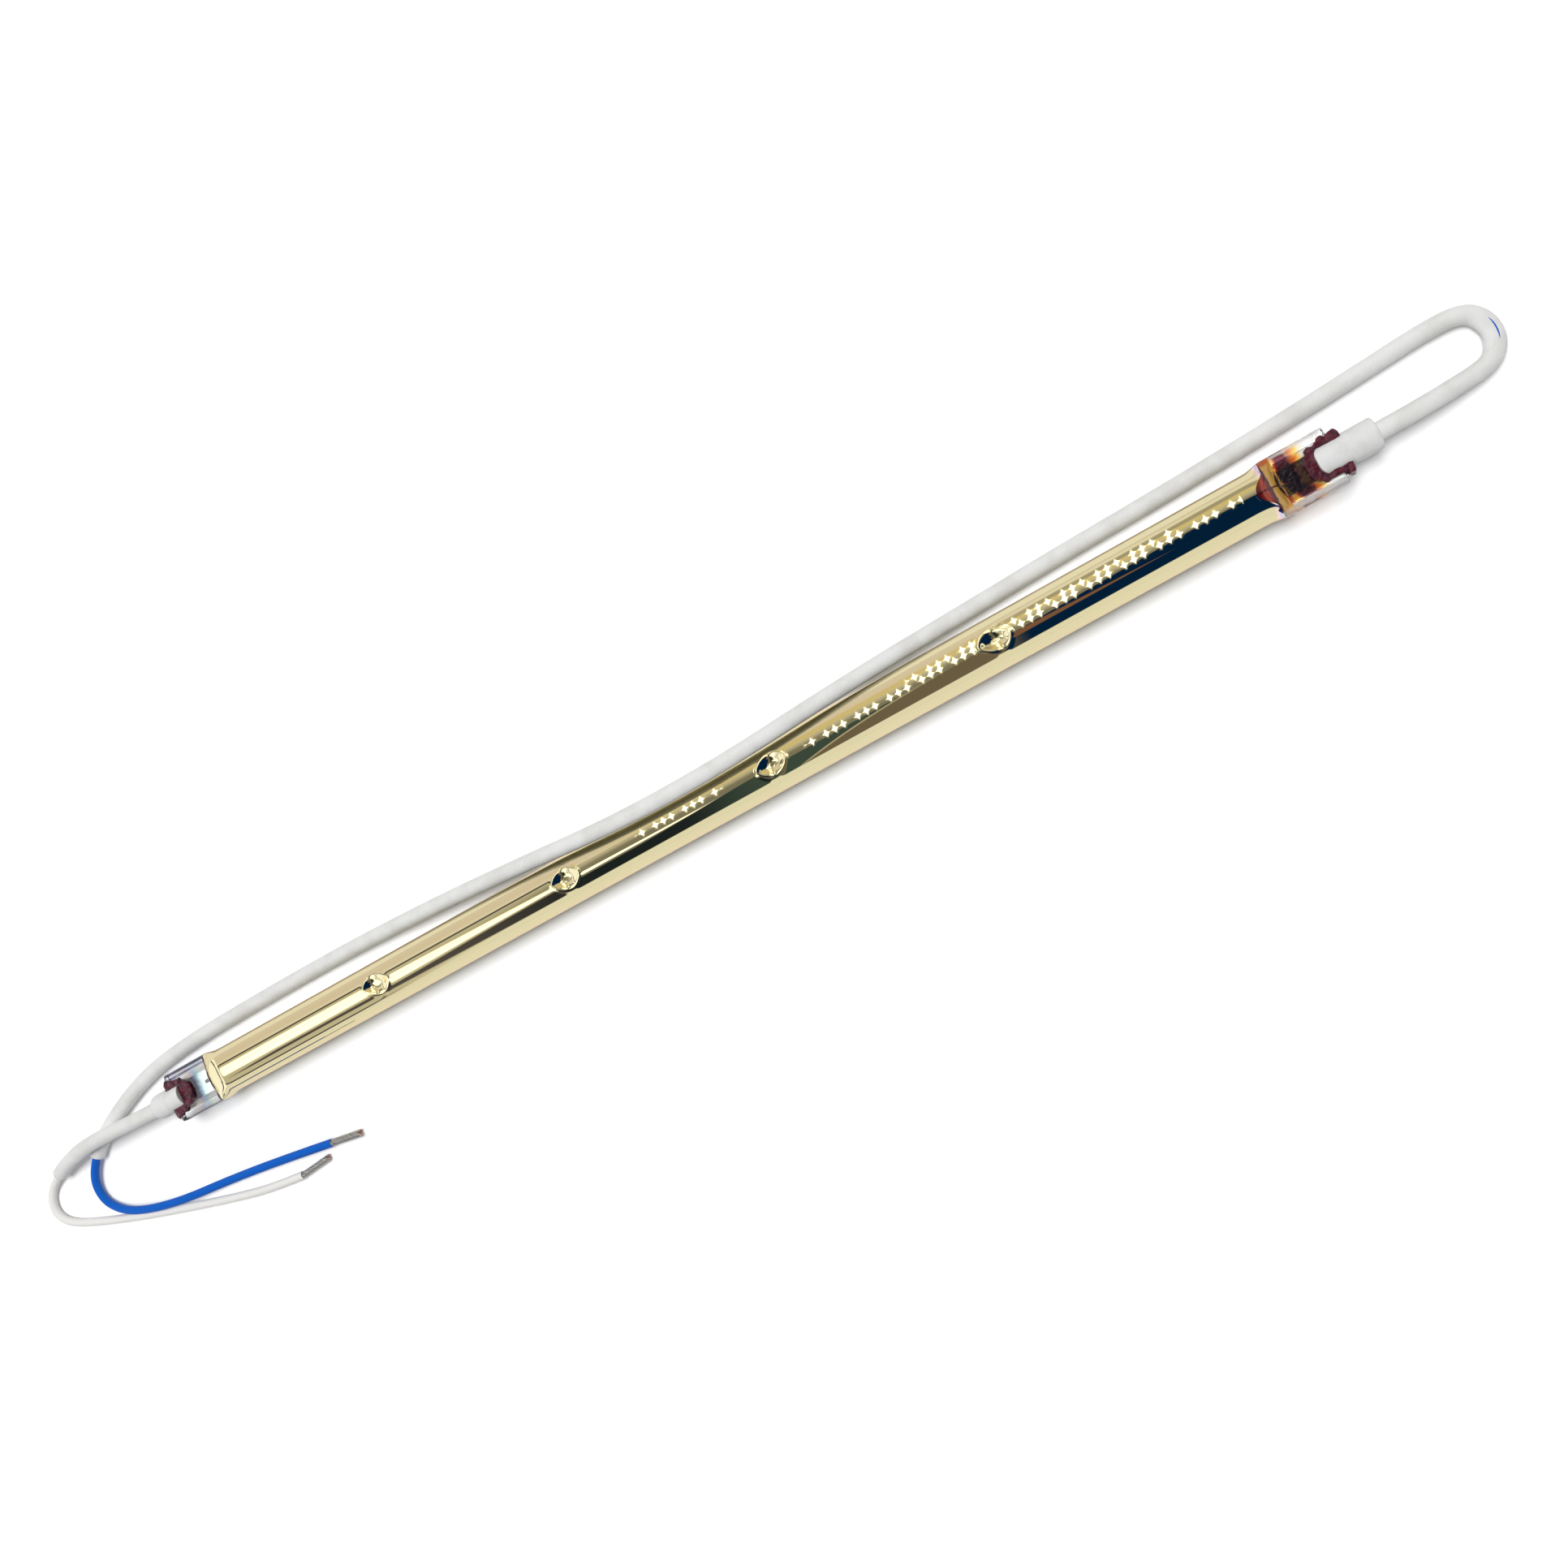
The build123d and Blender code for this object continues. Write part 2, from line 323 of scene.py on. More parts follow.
def roughen(mesh: bpy.types.Mesh, height: float, size: float, seed: float) -> None:
    """Push a mesh's vertices in and out along their normals by soft noise.

    Args:
        mesh: the mesh that is changed.
        height: the noise's height each way, in millimetres.
        size: the size of its lumps, in millimetres.
        seed: a shift that tells one piece's noise from another's.
    """
    shift = Vector((seed, -seed, seed))
    places, normals = np.empty((2, 3 * len(mesh.vertices)))
    mesh.vertices.foreach_get("co", places)
    mesh.vertices.foreach_get("normal", normals)
    places, normals = places.reshape(-1, 3), normals.reshape(-1, 3)
    spots = [Vector(place) / (size * MM) + shift for place in places]
    pushes = np.array([noise.noise(spot) + 0.4 * noise.noise(spot * 2.3) for spot in spots])
    places += normals * pushes[:, None] * height * MM
    mesh.vertices.foreach_set("co", places.ravel())
    mesh.update()


# Shader trees


class Signal:
    """A number or a colour in a node tree; arithmetic on it adds nodes."""

    def __init__(self, tree: Tree, socket: bpy.types.NodeSocket) -> None:
        """Keep the tree, and the output that the value comes from."""
        self.tree = tree
        self.socket = socket

    def __add__(self, other: Signal | float) -> Signal:
        """Add another value."""
        return self.tree.maths("ADD", self, other)

    def __sub__(self, other: Signal | float) -> Signal:
        """Take another value away."""
        return self.tree.maths("SUBTRACT", self, other)

    def __rsub__(self, other: float) -> Signal:
        """Take this value away from a number."""
        return self.tree.maths("SUBTRACT", other, self)

    def __mul__(self, other: Signal | float) -> Signal:
        """Multiply by another value."""
        return self.tree.maths("MULTIPLY", self, other)

    def __truediv__(self, other: Signal | float) -> Signal:
        """Divide by another value."""
        return self.tree.maths("DIVIDE", self, other)

    def __mod__(self, other: float) -> Signal:
        """Keep what is left over a whole number of steps."""
        return self.tree.maths("MODULO", self, other)

    def __pow__(self, other: float) -> Signal:
        """Raise to a power."""
        return self.tree.maths("POWER", self, other)

    def __abs__(self) -> Signal:
        """Drop the sign."""
        return self.tree.maths("ABSOLUTE", self)

    def most(self, other: Signal | float) -> Signal:
        """Take the larger of two values."""
        return self.tree.maths("MAXIMUM", self, other)

    def step(self, low: float, high: float) -> Signal:
        """Rise smoothly from 0 to 1.

        Args:
            low: where it starts to rise; this may be the larger of the two.
            high: where it has risen.

        Returns:
            A value from 0 to 1.
        """
        node = self.tree.add("ShaderNodeMapRange", interpolation_type="SMOOTHSTEP")
        first, last = (0.0, 1.0) if low < high else (1.0, 0.0)
        ends = {"From Min": min(low, high), "From Max": max(low, high)}
        for name, value in {"Value": self, **ends, "To Min": first, "To Max": last}.items():
            self.tree.feed(node.inputs[name], value)
        return Signal(self.tree, node.outputs["Result"])

    def band(self, low: float, high: float, soft: float) -> Signal:
        """Be 1 between two values and 0 outside them, over a soft edge."""
        return self.step(low - soft, low + soft) * self.step(high + soft, high - soft)


class Tree:
    """A node tree, with short calls for the nodes that the finishes and the room share."""

    def __init__(self, tree: bpy.types.NodeTree) -> None:
        """Keep the nodes and the links of a material's or the world's tree."""
        self.nodes = tree.nodes
        self.links = tree.links

    def add(self, kind: str, **settings: object) -> bpy.types.Node:
        """Add a node and set its own properties.

        Args:
            kind: the node's type.
            settings: the properties to set.

        Returns:
            The new node.
        """
        node = self.nodes.new(kind)
        for name, value in settings.items():
            setattr(node, name, value)
        return node

    def feed(self, socket: bpy.types.NodeSocket, value: Signal | float | Sequence[float]) -> None:
        """Link an input, or write its value.

        Args:
            socket: the input.
            value: a signal, a number or a colour.
        """
        if isinstance(value, Signal):
            self.links.new(value.socket, socket)
        elif isinstance(value, (int, float)):
            socket.default_value = value
        else:
            socket.default_value = (*value, 1.0)[: len(socket.default_value)]

    def maths(self, operation: str, *values: Signal | float) -> Signal:
        """Add a Math node.

        Args:
            operation: the node's operation.
            values: its inputs, in order.

        Returns:
            Its result.
        """
        node = self.add("ShaderNodeMath", operation=operation)
        for socket, value in zip(node.inputs, values):
            self.feed(socket, value)
        return Signal(self, node.outputs[0])

    def blend(self, factor: Signal, first: Signal | Colour, second: Signal | Colour) -> Signal:
        """Mix two colours.

        Args:
            factor: 0 for the first, 1 for the second.
            first: a colour.
            second: a colour.

        Returns:
            The mixed colour.
        """
        node = self.add("ShaderNodeMix", data_type="RGBA")
        for number, value in zip(MIX_COLOUR_INPUTS, (factor, first, second)):
            self.feed(node.inputs[number], value)
        return Signal(self, node.outputs[MIX_COLOUR_RESULT])

    def ramp(
        self, factor: Signal, stops: Sequence[tuple[float, Colour]], kind: str = "LINEAR"
    ) -> Signal:
        """Add a colour ramp.

        Args:
            factor: where on the ramp, from 0 to 1.
            stops: place and colour of each stop.
            kind: how the ramp runs between its stops.

        Returns:
            The colour.
        """
        node = self.add("ShaderNodeValToRGB")
        node.color_ramp.interpolation = kind
        elements = node.color_ramp.elements
        while len(elements) < len(stops):
            elements.new(0.5)
        for element, (place, colour) in zip(elements, stops):
            element.position = place
            element.color = (*colour, 1.0)
        self.feed(node.inputs[0], factor)
        return Signal(self, node.outputs[0])

    def place(self, drawn: float = 1.0) -> bpy.types.NodeSocket:
        """Give the point on the object, in millimetres.

        Args:
            drawn: a scale for its X; below 1 draws out what uses it along the tube.

        Returns:
            The socket that gives it.
        """
        mapping = self.add("ShaderNodeMapping")
        self.feed(mapping.inputs["Scale"], (drawn / MM, 1 / MM, 1 / MM))
        source = self.add("ShaderNodeTexCoord").outputs["Object"]
        self.links.new(source, mapping.inputs["Vector"])
        return mapping.outputs["Vector"]

    def axes(self, vector: bpy.types.NodeSocket | None = None) -> tuple[Signal, Signal, Signal]:
        """Split a vector into its three numbers.

        Args:
            vector: the vector, or else the point on the object is taken.

        Returns:
            Its x, y and z.
        """
        node = self.add("ShaderNodeSeparateXYZ")
        self.links.new(vector or self.place(), node.inputs[0])
        return tuple(Signal(self, output) for output in node.outputs)

    def noise(
        self, size: float, detail: float = 3.0, rough: float = 0.5, drawn: float = 1.0
    ) -> Signal:
        """Give soft noise from 0 to 1.

        Args:
            size: the size of its lumps, in millimetres.
            detail: how many finer layers it has.
            rough: how strong they are.
            drawn: below 1 draws the lumps out along the tube.

        Returns:
            The noise.
        """
        node = self.add("ShaderNodeTexNoise")
        self.links.new(self.place(drawn), node.inputs["Vector"])
        for name, value in {"Scale": 1.0 / size, "Detail": detail, "Roughness": rough}.items():
            self.feed(node.inputs[name], value)
        return Signal(self, node.outputs["Fac"])

    def bump(self, height: Signal, distance: float) -> Signal:
        """Turn a height into a normal.

        Args:
            height: a height from 0 to 1.
            distance: the relief in millimetres.

        Returns:
            The normal.
        """
        node = self.add("ShaderNodeBump")
        self.feed(node.inputs["Height"], height)
        self.feed(node.inputs["Distance"], distance * MM)
        return Signal(self, node.outputs["Normal"])

    def ray(self, *kinds: Ray) -> Signal:
        """Give what the Light Path says of a ray.

        Args:
            kinds: what is asked.

        Returns:
            The answer, and the largest one where several are asked for.
        """
        outputs = self.add("ShaderNodeLightPath").outputs
        answers = (Signal(self, outputs[kind.value]) for kind in kinds)
        return reduce(Signal.most, answers)


Sockets = dict[str, "Signal | float | Colour"]
GLASS: Sockets = {"Transmission Weight": 1.0, "Roughness": 0.03, "IOR": 1.46}


class Finish:
    """A finish: a material made once, and given to each piece that has it."""

    name: str
    slot: str

    def sockets(self, tree: Tree) -> Sockets:
        """Give the surface's values.

        Args:
            tree: the material's tree.

        Returns:
            A value for each socket that isn't left as it is.
        """
        raise NotImplementedError

    def material(self) -> bpy.types.Material:
        """Make the material, or find it if it is there already."""
        made = bpy.data.materials.get(self.name)
        if made is None:
            made = bpy.data.materials.new(self.name)
            made.use_nodes = True
            tree = Tree(made.node_tree)
            inputs = tree.nodes["Principled BSDF"].inputs
            for name, value in self.sockets(tree).items():
                tree.feed(inputs[name], value)
        return made


@dataclass(frozen=True)
class GoldCoat(Finish):
    """Bright gold fired onto the quartz: a mirror, a little pink where it turns away."""

    name: str = "gold_coat"
    slot: str = "gold_quartz"
    pale: Colour = (0.73, 0.66, 0.40)
    deep: Colour = (0.69, 0.61, 0.34)
    edge: Colour = (1.0, 0.86, 0.80)
    pink: Colour = (0.92, 0.70, 0.64)
    violet: Colour = (0.70, 0.60, 0.78)
    blue: Colour = (0.55, 0.72, 0.82)
    fringe: float = 133.2
    fringe_width: float = 2.2

    def sockets(self, tree: Tree) -> Sockets:
        """Give the surface's values; the relief is drawn out along the tube.

        Args:
            tree: the material's tree.

        Returns:
            A value for each socket that isn't left as it is.
        """
        streaks = tree.noise(1.6, 4.0, drawn=0.06)
        gold = tree.blend(tree.noise(9.0, drawn=0.25), self.pale, self.deep)
        x, y, _ = tree.axes()
        thin = (x + streaks * 0.9).step(self.fringe, self.fringe + self.fringe_width)
        hues = [(0.0, self.pale), (0.3, self.pink), (0.6, self.violet), (1.0, self.blue)]
        return {
            "Base Color": tree.blend(abs(y).step(2.4, 3.6), gold, tree.ramp(thin, hues)),
            "Metallic": 1.0,
            "Specular Tint": self.edge,
            "Roughness": 0.015,
            "Normal": tree.bump(streaks, 0.0015),
        }


@dataclass(frozen=True)
class ClearQuartz(Finish):
    """The left pinch: clear glass with a thin rainbow film near its root, and painted shade along
    its edges, where refraction shows a dark line.
    """

    name: str = "clear_quartz"
    slot: str = "gold_quartz"
    film: tuple[tuple[float, Colour], ...] = (
        (0.0, (0.96, 0.965, 0.97)),
        (0.18, (0.96, 0.90, 0.72)),
        (0.34, (0.95, 0.66, 0.78)),
        (0.50, (0.45, 0.62, 0.95)),
        (0.66, (0.50, 0.88, 0.90)),
        (0.80, (0.86, 0.95, 0.80)),
        (1.0, (0.93, 0.92, 0.90)),
    )
    # Painted shade: the blue-black of the dark line that refraction shows at the glass's edges
    corner: Colour = (0.06, 0.06, 0.11)

    def sockets(self, tree: Tree) -> Sockets:
        """Give the surface's values.

        Args:
            tree: the material's tree.

        Returns:
            A value for each socket that isn't left as it is.
        """
        x, y, _ = tree.axes()
        along = x + tree.noise(1.3, 2.0) * 1.6
        film = tree.ramp(along.step(-143.6, -136.6), self.film)
        # Painted shade: a dark band along both rails' outer edges, standing in for the dark line
        # of refraction there
        rim = y.step(5.15, 5.4).most(y.step(-5.62, -5.88))
        waves = tree.noise(0.7, drawn=0.22)
        colour = tree.blend(rim, film, self.corner)
        return {**GLASS, "Base Color": colour, "Normal": tree.bump(waves, 0.05)}


@dataclass(frozen=True)
class StainedQuartz(Finish):
    """The right pinch: glass stained from amber through ruby to yellow, and clear at its rails."""

    name: str = "stained_quartz"
    slot: str = "gold_quartz"
    glass: Colour = (0.95, 0.95, 0.94)
    amber: Colour = (0.93, 0.50, 0.07)
    orange: Colour = (0.88, 0.16, 0.015)
    ruby: Colour = (0.38, 0.012, 0.012)
    wine: Colour = (0.060, 0.006, 0.012)
    brown: Colour = (0.26, 0.08, 0.04)
    yellow: Colour = (0.97, 0.62, 0.08)

    def sockets(self, tree: Tree) -> Sockets:
        """Give the surface's values; the stain ends later on the near side.

        Args:
            tree: the material's tree.

        Returns:
            A value for each socket that isn't left as it is.
        """
        x, y, _ = tree.axes()
        swing = (tree.noise(1.8) - 0.5) * 2.2
        along = x + swing + y.step(-1.5, -3.5) * -1.6
        stops = [
            (0.0, self.wine),
            (0.09, self.ruby),
            (0.20, self.orange),
            (0.28, self.ruby),
            (0.33, self.amber),
            (0.45, self.amber),
            (0.48, self.ruby),
            (0.52, self.wine),
            (0.76, self.wine),
            (0.80, self.brown),
            (0.86, self.orange),
            (0.92, self.yellow),
            (1.0, self.glass),
        ]
        stain = tree.ramp(along.step(131.0, 144.0), stops)
        rails = (y + swing * 0.25).step(-4.35, -4.8).most((y + swing * 0.3).step(5.0, 5.6))
        colour = tree.blend(rails * x.step(136.0, 137.0), stain, self.glass)
        ribs = tree.noise(0.55, drawn=0.5)
        return {**GLASS, "Base Color": colour, "Normal": tree.bump(ribs, 0.09)}


@dataclass(frozen=True)
class RootStain(Finish):
    """The right pinch's root: deep ruby under the coat's end, then one bright amber facet."""

    name: str = "root_stain"
    slot: str = "gold_quartz"
    wine: Colour = (0.05, 0.004, 0.004)
    ruby: Colour = (0.13, 0.007, 0.006)
    orange: Colour = (0.42, 0.050, 0.012)
    amber: Colour = (0.66, 0.36, 0.07)
    pale: Colour = (0.62, 0.50, 0.42)

    def sockets(self, tree: Tree) -> Sockets:
        """Give the surface's values; the lead behind the facet shows as a dark line.

        Args:
            tree: the material's tree.

        Returns:
            A value for each socket that isn't left as it is.
        """
        x, y, _ = tree.axes()
        drift = tree.noise(1.2) * 0.8
        stops = [
            (0.0, self.wine),
            (0.14, self.ruby),
            (0.34, self.orange),
            (0.48, self.ruby),
            (0.56, self.wine),
            (0.61, self.amber),
            (0.92, self.amber),
            (1.0, self.ruby),
        ]
        stain = tree.ramp((x + drift - 131.9) * (1 / 5.5), stops)
        stain = tree.blend(y.step(4.3, 5.2) * 0.8, stain, self.orange)
        stain = tree.blend(y.step(-4.6, -5.4) * 0.8, stain, self.pale)
        lead = (y + drift).band(0.1, 0.6, 0.12)
        colour = tree.blend(lead * 0.85, stain, self.wine)
        return {**GLASS, "Base Color": colour, "Transmission Weight": 0.25, "Roughness": 0.08}


@dataclass(frozen=True)
class SealFoil(Finish):
    """Molybdenum foil, dark and mottled by heat; the left one is still silver at its root."""

    name: str = "left_foil"
    slot: str = "molybdenum"
    dark: Colour = (0.010, 0.014, 0.035)
    light: Colour = (0.10, 0.12, 0.17)
    silver: Colour = (0.80, 0.84, 0.88)
    spread: float = 0.55
    silver_from: float = 141.6
    silver_to: float = 139.2

    def sockets(self, tree: Tree) -> Sockets:
        """Give the surface's values.

        Args:
            tree: the material's tree.

        Returns:
            A value for each socket that isn't left as it is.
        """
        mottle = tree.noise(0.7, 6.0, 0.7)
        tone = tree.blend(mottle.step(self.spread, self.spread + 0.14), self.dark, self.light)
        reach = abs(tree.axes()[0]) + mottle * 1.8 - 0.9
        clean = reach.step(self.silver_from, self.silver_to)
        return {
            "Base Color": tree.blend(clean, tone, self.silver),
            "Metallic": 0.7,
            "Roughness": 0.35,
            "Normal": tree.bump(mottle, 0.08),
        }


@dataclass(frozen=True)
class Mottled(Finish):
    """Two tones in soft patches, over a fine grain that also varies the gloss.

    Patches and grain each have their noise's size in millimetres, detail and roughness.
    """

    name: str
    slot: str
    first: Colour
    second: Colour
    patches: tuple[float, float, float]
    grain: tuple[float, float, float]
    relief: float
    roughness: float
    roughness_swing: float = 0.0
    spread: tuple[float, float] = (0.0, 1.0)
    run: str = "LINEAR"
    dust: float = 0.0
    fixed: Sockets = field(default_factory=dict)

    def sockets(self, tree: Tree) -> Sockets:
        """Give the surface's values.

        Args:
            tree: the material's tree.

        Returns:
            A value for each socket that isn't left as it is.
        """
        stops = list(zip(self.spread, (self.first, self.second)))
        tone = tree.ramp(tree.noise(*self.patches), stops, self.run)
        if self.dust:
            specks = tree.noise(0.3, 2.0).step(0.70, 0.76) * self.dust
            tone = tree.blend(specks, tone, (0.5, 0.5, 0.5))
        values: Sockets = {**self.fixed, "Base Color": tone, "Roughness": self.roughness}
        grain = tree.noise(*self.grain)
        if self.roughness_swing:
            values["Roughness"] = grain * self.roughness_swing + self.roughness
        if self.relief:
            values["Normal"] = tree.bump(grain, self.relief)
        return values


@dataclass(frozen=True)
class BraidSleeve(Finish):
    """Silicone over glass-fibre braid: off-white, with the weave just showing, and painted
    highlights (glints) on its ridges.
    """

    name: str = "braid_sleeve"
    slot: str = "sleeve"
    pale: Colour = (0.75, 0.75, 0.735)
    grey: Colour = (0.67, 0.665, 0.645)
    # Painted highlight: the colour of the bright glints laid into the base colour
    glint: Colour = (0.9, 0.9, 0.89)
    threads: float = 12.0
    pitch: float = 1.25

    def sockets(self, tree: Tree) -> Sockets:
        """Give the surface's values; two sets of threads cross in the relief.

        Args:
            tree: the material's tree.

        Returns:
            A value for each socket that isn't left as it is.
        """
        lay = tree.add("ShaderNodeUVMap", uv_map=LAY_MAP).outputs["UV"]
        turn, along, _ = tree.axes(lay)
        around = turn * (self.threads * 2 * math.pi)
        forward = along * (2 * math.pi / self.pitch)
        one, other = (tree.maths("SINE", way) for way in (around + forward, around - forward))
        weave = one.most(other)
        speck = tree.noise(0.35, 2.0)
        tone = tree.blend(tree.noise(5.0, 4.0).step(0.35, 0.7), self.pale, self.grey)
        # Painted highlights: pale specks where the noise meets the weave's ridges, laid into the
        # base colour
        painted_glints = speck.step(0.66, 0.72) * weave.step(0.6, 0.95)
        return {
            "Base Color": tree.blend(painted_glints, tone, self.glint),
            "Roughness": 0.5,
            "Sheen Weight": 0.15,
            "Normal": tree.bump(weave * 0.35 + speck * 0.8, 0.03),
        }


def drawn_wire(name: str, slot: str, dull: Colour, bright: Colour) -> Mottled:
    """Give drawn or plated wire: fine lines, and a tarnish that comes and goes.

    Args:
        name: the material's name.
        slot: the record's material slot.
        dull: its tone where it is tarnished.
        bright: its tone where it is clean.

    Returns:
        The finish.
    """
    patches, lines = (0.9, 4.0, 0.6), (0.12, 2.0, 0.5)
    return Mottled(name, slot, dull, bright, patches, lines, 0.01, 0.32, fixed={"Metallic": 1.0})


def insulation(slot: str, colour: Colour, faded: Colour) -> Mottled:
    """Give silicone insulation: a soft gloss, drawn a little uneven, with some dust.

    Args:
        slot: the record's material slot, which names the material too.
        colour: its colour.
        faded: its paler patches.

    Returns:
        The finish.
    """
    swell, fixed = (3.0, 4.0, 0.5), {"Specular IOR Level": 0.3}
    return Mottled(slot, slot, colour, faded, swell, swell, 0.03, 0.5, dust=0.35, fixed=fixed)


BLUE_INSULATION = insulation("blue_insulation", (0.0, 0.070, 0.45), (0.0, 0.10, 0.52))
WHITE_INSULATION = insulation("white_insulation", (0.80, 0.79, 0.76), (0.72, 0.71, 0.68))
TUNGSTEN = drawn_wire("tungsten", "tungsten", (0.12, 0.12, 0.13), (0.30, 0.30, 0.32))
MOLYBDENUM = drawn_wire("molybdenum", "molybdenum", (0.012, 0.012, 0.016), (0.05, 0.05, 0.06))
PLATED_METAL = drawn_wire("wire_metal", "plated_metal", (0.30, 0.29, 0.26), (0.55, 0.53, 0.48))
PLATED_STRAND = drawn_wire(
    "plated_strand", "plated_strand", (0.50, 0.49, 0.45), (0.86, 0.85, 0.80)
)
COPPER_CUT = drawn_wire("copper_cut", "plated_strand", (0.50, 0.20, 0.12), (0.80, 0.36, 0.22))
COAT_EDGE = Mottled(
    name="coat_edge",
    slot="gold_quartz",
    first=(0.012, 0.014, 0.03),
    second=(0.05, 0.035, 0.03),
    patches=(0.5, 3.0, 0.5),
    grain=(0.5, 3.0, 0.5),
    relief=0.0,
    roughness=0.2,
)
MAROON_CEMENT = Mottled(
    name="maroon_cement",
    slot="cement",
    first=(0.022, 0.004, 0.011),
    second=(0.115, 0.012, 0.026),
    patches=(1.1, 5.0, 0.6),
    grain=(0.22, 3.0, 0.5),
    relief=0.05,
    roughness=0.08,
    roughness_swing=0.3,
    spread=(0.36, 0.62),
    fixed={"Specular IOR Level": 0.4},
)
STEATITE = Mottled(
    name="steatite",
    slot="ceramic",
    first=(0.72, 0.725, 0.715),
    second=(0.65, 0.65, 0.63),
    patches=(2.6, 4.0, 0.5),
    grain=(0.16, 3.0, 0.6),
    relief=0.02,
    roughness=0.5,
    roughness_swing=0.2,
    spread=(0.45, 0.75),
    run="EASE",
    fixed={
        "Subsurface Weight": 0.15,
        "Subsurface Radius": (1.0, 0.9, 0.8),
        "Subsurface Scale": 0.4 * MM,
    },
)
LEFT_FOIL = SealFoil()
RIGHT_FOIL = SealFoil(
    name="right_foil",
    dark=(0.008, 0.012, 0.030),
    light=(0.30, 0.17, 0.16),
    spread=0.56,
    silver_from=120.0,
    silver_to=119.0,
)


# The lamp's pieces


def finish_piece(
    piece: bpy.types.Object,
    finishes: Sequence[Finish],
    node: str,
    numbers: Sequence[int] = (),
) -> bpy.types.Object:
    """Give a piece its finishes, let it ride on the lamp, and stand it for its solid.

    Args:
        piece: the new object.
        finishes: its finishes, in the order of its material slots.
        node: the solid that it stands for.
        numbers: the slot of each face, where there is more than one.

    Returns:
        The same object.
    """
    piece.data.materials.clear()
    for finish in finishes:
        piece.data.materials.append(finish.material())
    if len(numbers):
        piece.data.polygons.foreach_set("material_index", numbers)
    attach(piece, BODY)
    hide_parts(node)
    LOG.info("%s stands for %s", piece.name, node)
    return piece


